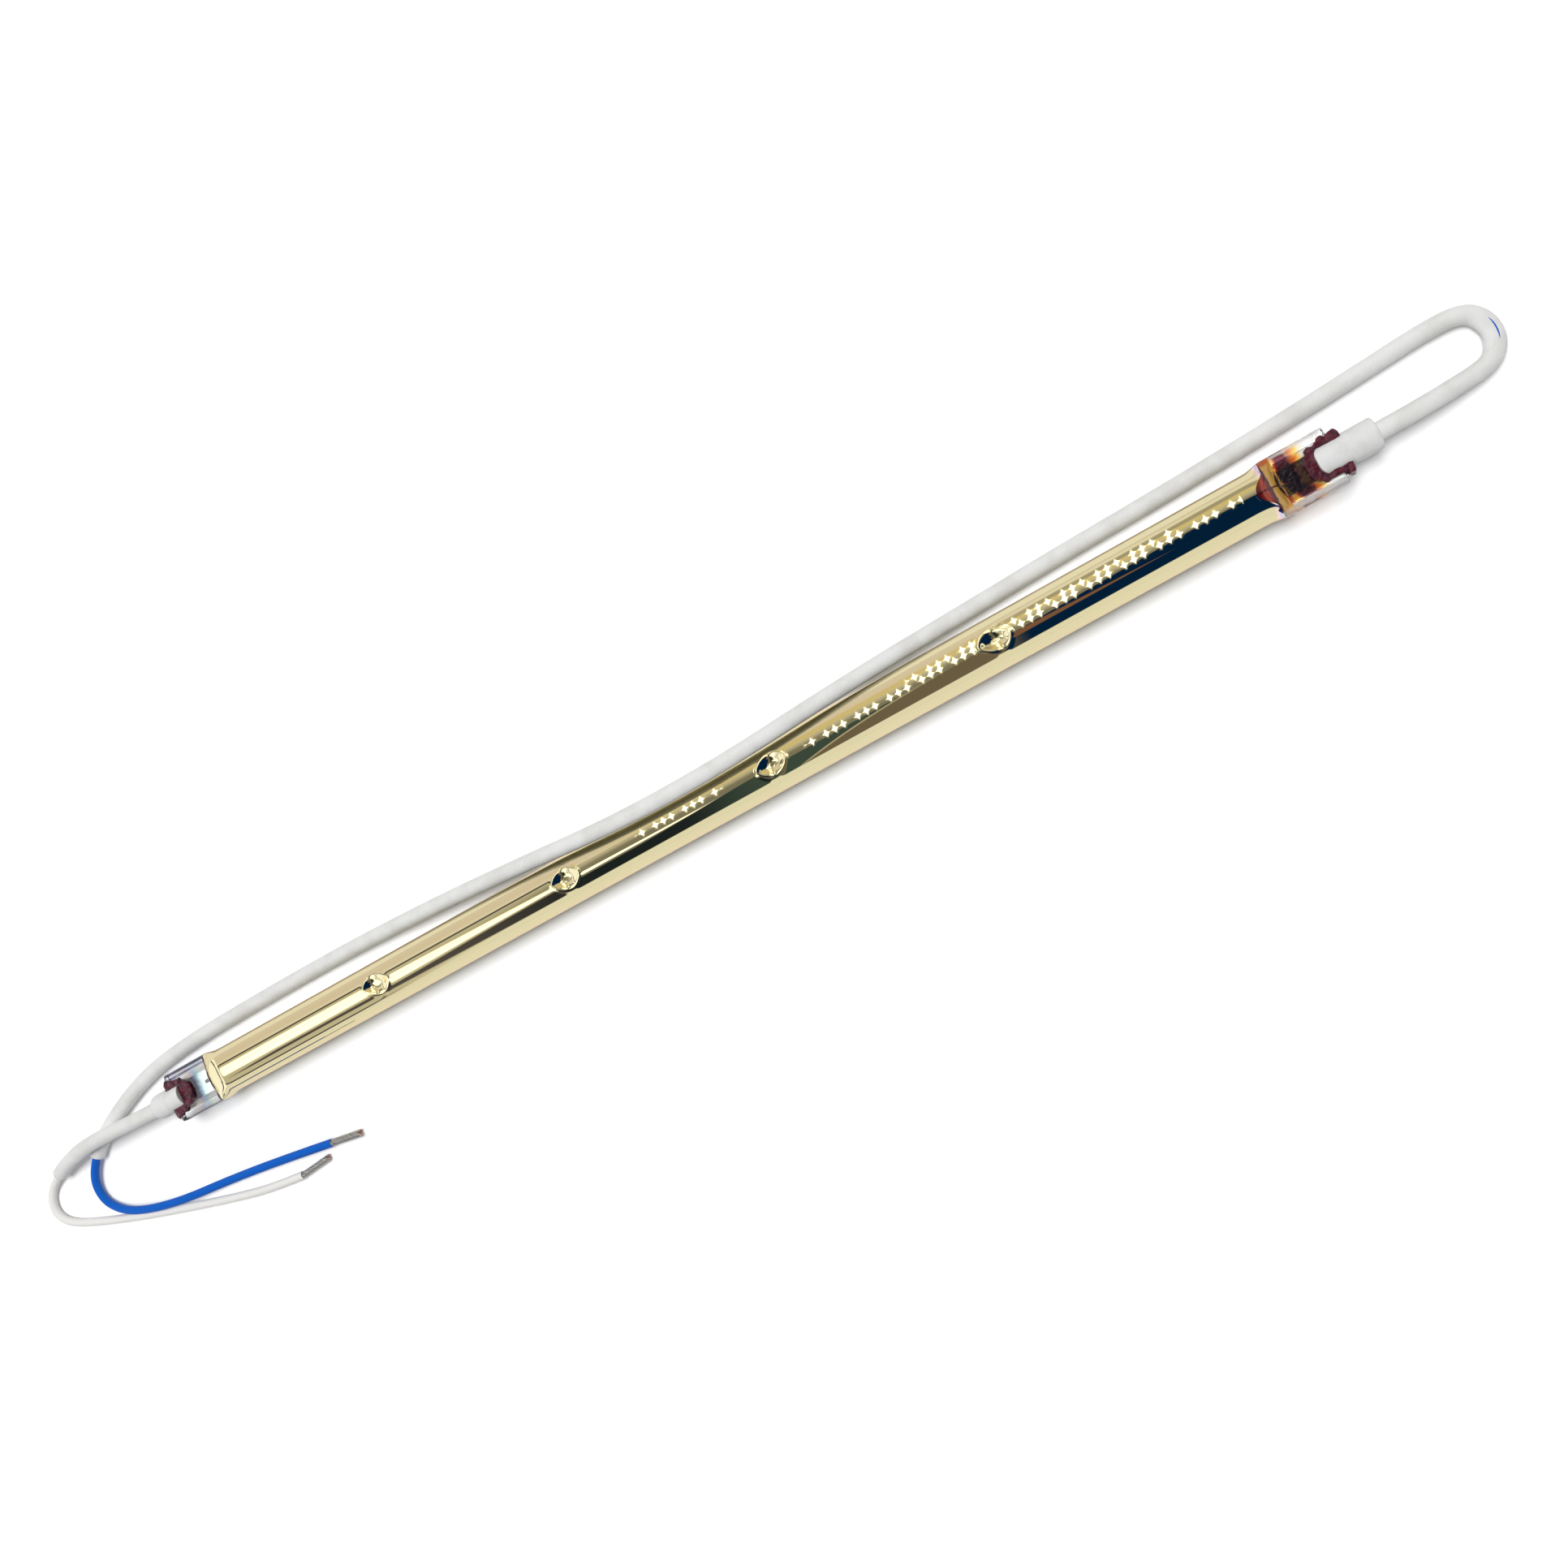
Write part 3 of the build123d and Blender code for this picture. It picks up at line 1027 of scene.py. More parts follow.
@dataclass
class QuartzEnvelope:
    """The one piece of glass: tube, dimples, shoulders and both pinches with their rails."""

    radius: float = 5.5
    half_body: float = 131.5
    pinch_half_width: float = 6.0
    pinch_half_thickness: float = 1.7
    pinch_corner: float = 0.7
    rail_width: float = 1.6
    web_half_thickness: float = 1.0
    web_root: float = 0.8
    groove_edge: float = 0.3
    end_round: float = 0.25
    end_shrink: float = 0.06
    dimple_places: tuple[float, ...] = (-83.4, -30.6, 22.2, 75.0)
    dimple_depth: float = 0.9
    dimple_half_length: float = 3.5
    dimple_half_width: float = 2.7
    dimple_rim: float = 0.05
    shoulder_ease: float = 2.2
    coat_end: dict = field(default_factory=lambda: {Side.RIGHT: 134.6, Side.LEFT: 135.3})
    coat_bulge: dict = field(default_factory=lambda: {Side.RIGHT: -2.4, Side.LEFT: 0.7})
    coat_window: float = 3.6
    bulge_reach: float = 2.2
    edge_line: float = 0.5
    line_width: float = 0.26
    root_end: float = 136.7
    columns: int = 160

    def stations(self, side: Side) -> np.ndarray:
        """List one half's stations, as distances from the middle.

        Args:
            side: the half that is meant.

        Returns:
            Distances along the tube, rising, in millimetres.
        """
        places = [abs(x) for x in self.dimple_places if x * side.value > 0]
        fine = [place + np.arange(-4.6, 4.61, 0.23) for place in places]
        plain = np.arange(0.0, self.half_body - 0.5, 1.1)
        clear = [x for x in plain if all(abs(x - place) > 5.0 for place in places)]
        length = SHOULDER_END + self.web_root - self.half_body
        ease_in = np.arange(self.half_body - self.shoulder_ease, self.half_body, 0.3)
        drop = self.half_body + length * np.sin(np.linspace(0, math.pi / 2, 30))
        line = self.coat_end[side] + np.array([0.0, self.line_width])
        pinch = np.arange(SHOULDER_END + self.web_root + 0.25, PINCH_END - 0.4, 0.3)
        end = PINCH_END - self.end_round * (1 - np.sin(np.linspace(0, math.pi / 2, 6)))
        every = np.concatenate([clear, *fine, ease_in, drop, line, pinch, end])
        return np.unique(np.round(every, 4))

    def pinch_section(self, turn: np.ndarray) -> tuple[np.ndarray, np.ndarray]:
        """Give the pinch's outer section without its grooves.

        Args:
            turn: angles from the top, one for each column.

        Returns:
            y and z of each column, from the axis.
        """
        fold = np.arcsin(np.abs(np.sin(turn))) / (math.pi / 2)
        wide, high, corner = self.pinch_half_width, self.pinch_half_thickness, self.pinch_corner
        run = fold * (wide + high)
        y = np.minimum(run, wide)
        z = np.clip(wide + high - run, 0, high)
        inner_y = np.minimum(y, wide - corner)
        inner_z = np.minimum(z, high - corner)
        reach = np.maximum(np.hypot(y - inner_y, z - inner_z), 1e-9)
        round_off = np.where((y > inner_y) & (z > inner_z), corner / reach, 1.0)
        y = inner_y + (y - inner_y) * round_off
        z = inner_z + (z - inner_z) * round_off
        return y * np.sign(np.sin(turn) + 1e-12), z * np.sign(np.cos(turn) + 1e-12)

    def skin(self, x: np.ndarray, turn: np.ndarray) -> tuple[np.ndarray, np.ndarray]:
        """Give the outer surface.

        Args:
            x: places along the tube.
            turn: angles from the top, of the same shape.

        Returns:
            y and z of each point, z from the axis.
        """
        reach = np.abs(x) - self.half_body
        shoulder = SHOULDER_END - self.half_body
        flat_y, flat_z = self.pinch_section(turn)
        round_y, round_z = self.radius * np.sin(turn), self.radius * np.cos(turn)
        y = round_y + (flat_y - round_y) * ease(reach / shoulder)
        eased = reach + self.shoulder_ease
        rail_run = shoulder + self.shoulder_ease
        web_run = rail_run + self.web_root
        fall_rail, fall_web = (
            np.sqrt(1 - np.clip(eased / run, 0, 1) ** 2) for run in (rail_run, web_run)
        )
        rail_z = flat_z + (round_z - flat_z) * fall_rail
        web_z = flat_z * self.web_half_thickness / self.pinch_half_thickness
        web_z = web_z + (round_z - web_z) * fall_web
        window = self.pinch_half_width - self.rail_width
        inside = ease((window + self.groove_edge - np.abs(y)) / (2 * self.groove_edge))
        z = rail_z + (web_z - rail_z) * inside * (eased > 0)
        for number, place in enumerate(self.dimple_places):
            lean = 0.5 * math.sin(2.1 * number + 1)
            across = y / self.dimple_half_width
            along = (x - place + lean * across) / self.dimple_half_length
            far = along**2 + (np.sqrt(across**2 + 0.04) - 0.2) / 0.82
            bowl = 0.5 + 0.5 * np.cos(math.pi * np.clip(far, 0, 1))
            rim = self.dimple_rim * np.exp(-(((far - 1.0) / 0.22) ** 2))
            push = np.where(np.cos(turn) > 0, rim - self.dimple_depth * bowl, 0.0)
            y = y + push * np.sin(turn)
            z = z + push * np.cos(turn)
        return y, z

    def shifted(self, place: np.ndarray, angle: np.ndarray) -> np.ndarray:
        """Bend the rows near the coat's ends, so that the coat ends in curved lines.

        Args:
            place: each point's station.
            angle: each point's angle from the top.

        Returns:
            The points' places along the tube.
        """
        out_y = self.radius * np.sin(angle)
        crown = 1 - (out_y / self.pinch_half_width) ** 2
        window = np.clip(1 - (out_y / self.coat_window) ** 2, 0, 1) ** 1.5
        shapes = {Side.RIGHT: window + 0.25 * crown, Side.LEFT: crown}
        x = place.copy()
        for side in Side:
            out = place * side.value - self.coat_end[side]
            near = np.exp(-((out / self.bulge_reach) ** 2)) * np.where(np.abs(out) < 6, 1.0, 0.0)
            bulge = self.coat_bulge[side] * near * shapes[side]
            if side is Side.LEFT:
                edge = np.exp(-(((out - self.line_width) / 0.05) ** 2))
                bulge = bulge + self.edge_line * crown * edge
            x = x + side.value * bulge
        return x

    def zones(self, stations: np.ndarray) -> np.ndarray:
        """Tell which finish each row of faces has.

        Args:
            stations: the stations' places.

        Returns:
            A material number for each row: 0 coat, 1 edge line, 2 clear, 3 stained, 4 root.
        """
        middle = (stations[1:] + stations[:-1]) / 2
        rows = np.zeros(len(middle), int)
        rows[middle > self.coat_end[Side.RIGHT]] = 4
        rows[middle > self.root_end] = 3
        rows[middle < -self.coat_end[Side.LEFT]] = 1
        rows[middle < -self.coat_end[Side.LEFT] - self.line_width] = 2
        return rows

    def build(self) -> bpy.types.Object:
        """Make the envelope, with its coat, edge line, clear, stained and root glass.

        Returns:
            The dressed piece.
        """
        left, right = self.stations(Side.LEFT), self.stations(Side.RIGHT)
        stations = np.concatenate([-left[::-1], right[right > 1e-6]])
        turn = np.linspace(0, 2 * math.pi, self.columns, endpoint=False)
        place, angle = np.meshgrid(stations, turn, indexing="ij")
        x = self.shifted(place, angle)
        y, z = self.skin(x, angle)
        past = np.clip((np.abs(place) - PINCH_END + self.end_round) / self.end_round, 0, 1)
        shrink = 1 - self.end_shrink * past**2
        points = np.stack([x, y * shrink, z * shrink + AXIS_HEIGHT], -1).reshape(-1, 3)
        faces = ring_faces(len(stations), self.columns, capped=True)
        mesh = make_mesh("quartz_envelope_skin", points, faces)
        numbers = np.repeat(self.zones(stations), self.columns).tolist() + [2, 3]
        finishes = [GoldCoat(), COAT_EDGE, ClearQuartz(), StainedQuartz(), RootStain()]
        piece = make_object("quartz_envelope_skin", mesh)
        return finish_piece(piece, finishes, "quartz_envelope", numbers)


@dataclass
class CeramicCap:
    """A ceramic cap: round body, slimmer neck, two tongues astride the pinch, and a seat."""

    side: Side
    radius: float
    neck_radius: float
    tongue_overlap: float
    tongue_round: float
    collar: float
    beyond_pinch: float
    seat_depth: float
    edge_round: float
    slot_half_height: float = 1.3
    slot_floor: float = 0.4
    seat_radius: float = 1.945
    grain: float = 0.1

    def profile(self) -> list[Flat]:
        """Give the cap's turned outline, from its tip, with the seat's bore at its face.

        Returns:
            x and radius of each ring.
        """
        tip = PINCH_END - self.tongue_overlap
        collar = PINCH_END + self.collar
        face = PINCH_END + self.beyond_pinch
        outline = [(tip, 0.05), (tip, self.neck_radius), (collar - 0.5, self.neck_radius)]
        outline += [(collar + 0.1, self.radius)]
        outline += quarter_round(face, self.radius, self.edge_round, -1)
        seat = face - self.seat_depth
        outline += [(face, self.seat_radius), (seat, self.seat_radius), (seat, 0.05)]
        return [(x * self.side.value, r) for x, r in outline]

    def build(self) -> bpy.types.Object:
        """Make the cap: turn it, round the tongues' tips, cut the slot and fire it smooth.

        Returns:
            The dressed piece.
        """
        name = f"ceramic_cap_{self.side.word}_body"
        sign = self.side.value
        blank = make_mesh(name, *lathe(self.profile(), 96))
        tip = PINCH_END - self.tongue_overlap
        neck_end = PINCH_END + self.collar - 0.6
        wide = self.radius + 1
        plan = quarter_round(tip, self.neck_radius, self.tongue_round, 1)[::-1]
        plan += [(neck_end, self.neck_radius), (neck_end, wide)]
        plan += [(PINCH_END + self.beyond_pinch + 1, wide)]
        both = plan + [(x, -y) for x, y in reversed(plan)]
        keep = make_mesh("plan", *prism([(sign * x, y) for x, y in both], -2.0, 13.0))
        floor = PINCH_END + self.slot_floor
        box = [(tip - 1, -wide), (floor, -wide), (floor, wide), (tip - 1, wide)]
        low, high = AXIS_HEIGHT - self.slot_half_height, AXIS_HEIGHT + self.slot_half_height
        slot = make_mesh("slot", *prism([(sign * x, y) for x, y in box], low, high))
        cut = carve(name + "_cut", blank, [("INTERSECT", keep), ("DIFFERENCE", slot)])
        piece = make_object(name, soften(cut, name, self.grain, 5))
        return finish_piece(piece, [STEATITE], f"ceramic_cap_{self.side.word}")


@dataclass
class CementBead:
    """A bead of cement: a smeared collar with lumps, pressed in round the tongues.

    The outline's x is from the pinch's end, outwards; a lump has x, y, height and radius.
    """

    side: Side
    outline: tuple[Flat, ...]
    lumps: tuple[tuple[float, float, float, float], ...]
    half_height: float = 1.65
    rough: float = 0.26
    lump_size: float = 1.3
    grain: float = 0.1

    def build(self) -> bpy.types.Object:
        """Make the bead: stand the outline up, add its lumps, and let it set.

        Returns:
            The dressed piece.
        """
        name = f"cement_{self.side.word}_bead"
        sign = self.side.value
        line = smooth_outline([(sign * (PINCH_END + x), y) for x, y in self.outline])
        low, high = AXIS_HEIGHT - self.half_height, AXIS_HEIGHT + self.half_height
        slab = make_mesh(name, *prism(line, low, high))
        balls = []
        for along, out, up, radius in self.lumps:
            ball = bmesh.new()
            middle = Vector((sign * (PINCH_END + along), out, AXIS_HEIGHT + up)) * MM
            bmesh.ops.create_icosphere(ball, subdivisions=3, radius=radius * MM)
            bmesh.ops.translate(ball, verts=ball.verts[:], vec=middle)
            mesh = bpy.data.meshes.new("lump")
            ball.to_mesh(mesh)
            ball.free()
            balls.append(("UNION", mesh))
        mesh = soften(carve(name + "_mass", slab, balls), name, self.grain, 14)
        roughen(mesh, self.rough, self.lump_size, float(sign))
        return finish_piece(make_object(name, mesh), [MAROON_CEMENT], f"cement_{self.side.word}")


# The leads


def along_line(points: np.ndarray) -> np.ndarray:
    """Give each point's distance from the first, along the line."""
    return np.concatenate([[0.0], np.cumsum(np.linalg.norm(np.diff(points, axis=0), axis=1))])


def resample(points: np.ndarray, end: float, spacing: float) -> np.ndarray:
    """Take evenly spaced points from the start of a line.

    Args:
        points: the line.
        end: distance along it of the last point wanted.
        spacing: about how far apart they are.

    Returns:
        The points.
    """
    count = max(2, int(round(end / spacing)) + 1)
    wanted = np.linspace(0.0, end, count)
    far = along_line(points)
    return np.stack([np.interp(wanted, far, points[:, axis]) for axis in range(3)], 1)


def carried_frames(points: np.ndarray) -> tuple[np.ndarray, np.ndarray]:
    """Carry a square along a line without twisting it.

    Args:
        points: the line.

    Returns:
        At each point two directions across the line, the second the one that starts as up.
    """
    ahead = np.gradient(points, axis=0)
    ahead /= np.linalg.norm(ahead, axis=1, keepdims=True)
    up = np.zeros_like(points)
    carried = np.array([0.0, 0.0, 1.0])
    for i, direction in enumerate(ahead):
        carried = carried - direction * carried.dot(direction)
        carried = carried / np.linalg.norm(carried)
        up[i] = carried
    return np.cross(up, ahead), up


@dataclass
class Lead:
    """A flying lead: insulated wire, sleeve over it, and twisted bare strands at its end."""

    side: Side
    route: tuple[Point, ...]
    sleeve_corner: int
    wire_length: float
    exit_x: float
    insulation: Finish
    strand_radius: float
    twist_seed: int
    wire_radius: float = 1.0
    sleeve_radius: float = 1.825
    sleeve_bore: float = 1.15
    sleeve_columns: int = 36
    kink: float = 0.0
    kink_reach: float = 5.5
    bare_length: float = 8.8
    strand_bend: float = 0.0
    strand_layers: tuple[tuple[int, float], ...] = ((1, 0.0), (6, 0.42), (12, 0.80))
    strand_share: float = 0.19
    strand_sides: int = 8
    strand_steps: int = 44
    strand_pitch: float = 5.625
    strand_tuck: float = 0.4

    def curve(self, name: str, radius: float) -> bpy.types.Object:
        """Make the route's smooth line as a curve.

        Args:
            name: the object's name.
            radius: the wire's radius in millimetres, or 0 for a bare line.

        Returns:
            The curve object.
        """
        curve = bpy.data.curves.new(name, "CURVE")
        curve.dimensions = "3D"
        spline = curve.splines.new("NURBS")
        spline.points.add(len(self.route) - 1)
        for point, place in zip(spline.points, self.route):
            point.co = (*(value * MM for value in place), 1.0)
        spline.order_u = 3
        spline.use_endpoint_u = True
        curve.resolution_u = 12
        curve.bevel_depth = radius * MM
        curve.bevel_resolution = 5
        curve.use_fill_caps = True
        return make_object(name, curve)

    def line(self) -> np.ndarray:
        """Read the smooth line from its curve.

        Returns:
            Its points, in millimetres.
        """
        mesh = evaluated(self.curve("route_line", 0.0), "route_points")
        points = np.array([vertex.co for vertex in mesh.vertices]) / MM
        bpy.data.meshes.remove(mesh)
        return points

    def sleeve_end(self, points: np.ndarray) -> float:
        """Find how far along the line the sleeve ends.

        Args:
            points: the route's smooth line.

        Returns:
            The distance in millimetres.
        """
        before, after = (np.array(self.route[self.sleeve_corner + k]) for k in (0, 1))
        nearest = np.linalg.norm(points - (before + after) / 2, axis=1).argmin()
        return float(along_line(points)[nearest])

    def sleeve(self, points: np.ndarray) -> bpy.types.Object:
        """Make the sleeve as a tube with a wall, squashed a little where it kinks.

        Args:
            points: the route's smooth line.

        Returns:
            The dressed piece.
        """
        name = f"sleeve_{self.side.word}_braid"
        middle = resample(points, self.sleeve_end(points), 0.6)
        across, up = carried_frames(middle)
        far = along_line(middle)
        apex = far[np.argmax(middle[:, 0])]
        squash = self.kink * np.exp(-(((far - apex) / self.kink_reach) ** 4))
        turn = np.linspace(0, 2 * math.pi, self.sleeve_columns, endpoint=False)
        last = len(middle) - 1
        rows = [(0, self.sleeve_bore), *((i, self.sleeve_radius) for i in range(last + 1))]
        rows += [(last, self.sleeve_bore), (max(last - 5, 0), self.sleeve_bore)]
        rings, lay = [], []
        for i, radius in rows:
            wide = radius * (1 + 0.75 * squash[i])
            high = radius * (1 - squash[i])
            shift = (high - radius) * up[i] - np.array([wide - radius, 0.0, 0.0])
            ring = middle[i] + np.outer(np.cos(turn) * wide, across[i])
            rings.append(ring + np.outer(np.sin(turn) * high, up[i]) + shift)
            lay.append(np.stack([turn / (2 * math.pi), np.full(len(turn), far[i])], 1))
        mesh = make_mesh(name, np.concatenate(rings), ring_faces(len(rings), len(turn)))
        self.lay_out(mesh, np.concatenate(lay))
        return finish_piece(make_object(name, mesh), [BraidSleeve()], f"sleeve_{self.side.word}")

    @staticmethod
    def lay_out(mesh: bpy.types.Mesh, lay: np.ndarray) -> None:
        """Write each corner's turn and distance as a UV map, whole across the seam.

        Args:
            mesh: the tube's mesh.
            lay: turn, from 0 to 1, and distance in millimetres, for each vertex.
        """
        layer = mesh.uv_layers.new(name=LAY_MAP)
        for face in mesh.polygons:
            corners = [lay[mesh.loops[k].vertex_index] for k in face.loop_indices]
            turns = [turn for turn, _ in corners]
            seam = max(turns) - min(turns) > 0.5
            for k, (turn, far) in zip(face.loop_indices, corners):
                layer.data[k].uv = (turn + 1.0 if seam and turn < 0.5 else turn, far)

    def strands(self, points: np.ndarray) -> bpy.types.Object:
        """Make the bare end: fine wires laid in a twist, with copper showing at their cuts.

        Args:
            points: the route's smooth line.

        Returns:
            The dressed piece.
        """
        name = f"strands_{self.side.word}_twist"
        chance = np.random.default_rng(self.twist_seed)
        ahead = points[-1] - points[-2]
        ahead /= np.linalg.norm(ahead)
        across = np.cross([0.0, 0.0, 1.0], ahead)
        across /= np.linalg.norm(across)
        up = np.cross(ahead, across)
        thin = self.strand_radius * self.strand_share
        turn = np.linspace(0, 2 * math.pi, self.strand_sides, endpoint=False)
        rim = thin * (np.outer(np.cos(turn), across) + np.outer(np.sin(turn), up))
        leaning = ahead - np.cross(ahead, up) * self.strand_bend
        rings, faces, cuts = [], [], []
        for count, share in self.strand_layers:
            for number in range(count):
                phase = 2 * math.pi * number / count + chance.uniform(-0.12, 0.12)
                length = self.bare_length - chance.uniform(0.0, 0.55)
                flare = chance.uniform(-0.03, 0.10)
                base = len(rings) * self.strand_sides
                for t in np.arange(self.strand_steps) / (self.strand_steps - 1):
                    far = t * length - self.strand_tuck
                    spread = share * self.strand_radius * (1 + flare * t**3)
                    spread = min(spread, self.strand_radius - thin)
                    angle = phase + 2 * math.pi * max(far, 0) / self.strand_pitch
                    heart = points[-1] + (leaning if far > 0 else ahead) * far
                    heart = heart + spread * (math.cos(angle) * across + math.sin(angle) * up)
                    rings.append(heart + rim)
                wire = ring_faces(self.strand_steps, self.strand_sides, capped=True)
                faces += [tuple(base + v for v in face) for face in wire]
                cuts.append(len(faces) - 1)
        mesh = make_mesh(name, np.concatenate(rings), faces)
        numbers = np.zeros(len(mesh.polygons), int)
        numbers[cuts] = 1
        piece = make_object(name, mesh)
        finishes = [PLATED_STRAND, COPPER_CUT]
        return finish_piece(piece, finishes, f"strands_{self.side.word}", numbers.tolist())

    def build(self) -> bpy.types.Object:
        """Returns:
            The wire.
        """
        word = self.side.word
        points = self.line()
        sleeve = self.sleeve(points)
        strands = self.strands(points)
        wire = self.curve(f"wire_{word}_insulated", self.wire_radius)
        finish_piece(wire, [self.insulation], f"wire_{word}")
        self.exit_x * MM
        self.wire_length * MM
        2 * self.wire_radius * MM
        LOG.info("wire_%s is %.1f mm long", word, along_line(points)[-1])
        return wire


def dress_metal(frame: dict) -> None:
    """Give the metal sealed in the glass, and the filament, their finishes.

    Args:
        frame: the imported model, as loaded.
    """
    finishes: dict[str, Finish] = {f"filament_support_{n}": TUNGSTEN for n in range(1, 5)}
    finishes["filament"] = TUNGSTEN
    for side, foil in ((Side.RIGHT, RIGHT_FOIL), (Side.LEFT, LEFT_FOIL)):
        finishes[f"inner_lead_{side.word}"] = MOLYBDENUM
        finishes[f"outer_pin_{side.word}"] = MOLYBDENUM
        finishes[f"crimp_{side.word}"] = PLATED_METAL
        finishes[f"seal_foil_{side.word}"] = foil
    for node, finish in finishes.items():
        thing = frame["nodes"][node]
        thing.data.materials.clear()
        thing.data.materials.append(finish.material())
        LOG.info("%s keeps its solid, in %s", node, finish.name)


# The studio


@dataclass
class Room:
    """The room that the mirror shows, as bands of light round the tube and along it.

    A direction is told by its lean, in degrees from straight up towards the near side, and by
    its slope along the tube, which is 0 straight across it. A row of stars has its lean at its
    start, the lean's drift along the slope, its first and last slope, and its groups' shift.
    """

    tree: Tree
    wall: Colour = (1.0, 1.0, 1.0)
    far_wall: Colour = (0.90, 0.82, 0.84)
    rosy_wall: Colour = (0.98, 0.94, 0.95)
    warm_wall: Colour = (0.85, 0.73, 0.46)
    grey_wall: Colour = (0.5, 0.47, 0.42)
    ceiling: Colour = (0.70, 0.67, 0.62)
    dim_ceiling: Colour = (0.27, 0.26, 0.24)
    window: Colour = (2.3, 2.3, 2.3)
    window_bar: Colour = (1.1, 1.1, 1.1)
    shade: Colour = (0.11, 0.10, 0.13)
    figure: Colour = (0.001, 0.020, 0.095)
    night: Colour = (0.016, 0.024, 0.036)
    moss: Colour = (0.06, 0.10, 0.11)
    brown: Colour = (0.20, 0.165, 0.14)
    ledge: Colour = (0.62, 0.58, 0.50)
    rust: Colour = (0.26, 0.13, 0.095)
    room_end: Colour = (1.35, 1.38, 1.55)
    end_bar: Colour = (0.16, 0.16, 0.15)
    star: Colour = (5.0, 5.0, 5.0)
    star_rows: tuple[tuple[float, ...], ...] = (
        (-22.0, 0.0, -0.369, -0.298, 0.3564),
        (-8.0, -45.0, -0.230, 0.096, 0.2170),
        (-37.0, -55.0, -0.148, 0.048, 0.0593),
    )
    star_pitch: float = 0.0068
    star_group: float = 0.0250
    star_height: float = 27.0

    def paint(self) -> Signal:
        """Draw the room.

        Returns:
            The light's colour in each direction.
        """
        ways = self.tree.add("ShaderNodeTexCoord").outputs["Generated"]
        x, y, z = self.tree.axes(ways)
        slope = x / self.tree.maths("SQRT", y * y + z * z + 1e-6)
        lean = self.tree.maths("ARCTAN2", y * -1.0, z) * (180 / math.pi)
        light = self.far_side(lean, slope)
        light = self.ceiling_panel(light, lean, slope)
        light = self.dark_figure(light, lean, slope)
        light = self.far_ends(light, slope)
        return self.sparkles(light, lean, slope)

    def lay(self, light: Signal | Colour, *layers: tuple[Signal, Signal | Colour]) -> Signal:
        """Lay colours over a light.

        Args:
            light: the light so far.
            layers: mask and colour of each; the colour covers where its mask is 1.

        Returns:
            The light's colour.
        """
        for mask, colour in layers:
            light = self.tree.blend(mask, light, colour)
        return light

    @staticmethod
    def zone(value: Signal, low: Signal | float, high: Signal | float, soft: float) -> Signal:
        """Be 1 between two edges, which may themselves change from place to place."""
        return (value - low).step(-soft, soft) * (high - value).step(-soft, soft)

    def far_side(self, lean: Signal, slope: Signal) -> Signal:
        """Draw the walls: white on the near side, duller and then warm on the far side.

        Args:
            lean: the direction's lean.
            slope: the direction's slope.

        Returns:
            The light's colour.
        """
        right = slope.step(-0.12, -0.04)
        return self.lay(
            self.wall,
            (lean.step(-36.0, -38.0), self.far_wall),
            (lean.band(-47.0, -36.0, 4.0) * slope.step(-0.35, -0.5), self.rosy_wall),
            (lean.band(-56.0, -22.0, 3.0) * slope.step(-0.42, -0.30), self.warm_wall),
            (lean.band(-67.0, -50.0, 2.0) * right, self.grey_wall),
            (lean.band(-80.0, -68.0, 2.5) * right, self.wall),
        )

    def ceiling_panel(self, light: Signal, lean: Signal, slope: Signal) -> Signal:
        """Draw the ceiling with its dark outline and its long window.

        Args:
            light: the light so far.
            lean: the direction's lean.
            slope: the direction's slope.

        Returns:
            The light's colour.
        """
        off = abs(lean - 21.0) * (1 / 55.0)
        past = (slope * -1.0 - 0.75).most(0.0) * 2.6
        edge = off**5.0 + past**3.0
        dim = slope.step(-0.56, -0.38) * lean.step(-33.0, -8.0)
        panel = self.tree.blend(dim, self.ceiling, self.dim_ceiling)
        outline = edge.band(0.60, 1.22, 0.12) * slope.step(-0.40, -0.46)
        only_far = lean.step(20.0, 10.0).most(slope.step(-0.57, -0.63))
        top = slope.step(-0.66, -0.31) * 24.0 - 16.0
        bottom = slope.step(-0.66, -0.44) * -12.0 + 26.0
        half = (bottom - top) * 0.5 + 0.001
        beside = (lean - (top + bottom) * 0.5) / half
        beyond = (slope * -1.0 - 0.78).most(0.0) * 7.0
        near = abs(beside) ** 3.0 + beyond * beyond
        pane = near.step(1.9, 0.35) * slope.step(-0.28, -0.36)
        return self.lay(
            light,
            (edge.step(1.03, 0.97), panel),
            (lean.step(63.0, 65.0) * slope.step(-0.60, -0.50), self.wall),
            (outline * only_far, self.shade),
            (pane, self.window),
            (lean.band(-0.5, 2.0, 1.2) * pane * 0.8, self.window_bar),
        )

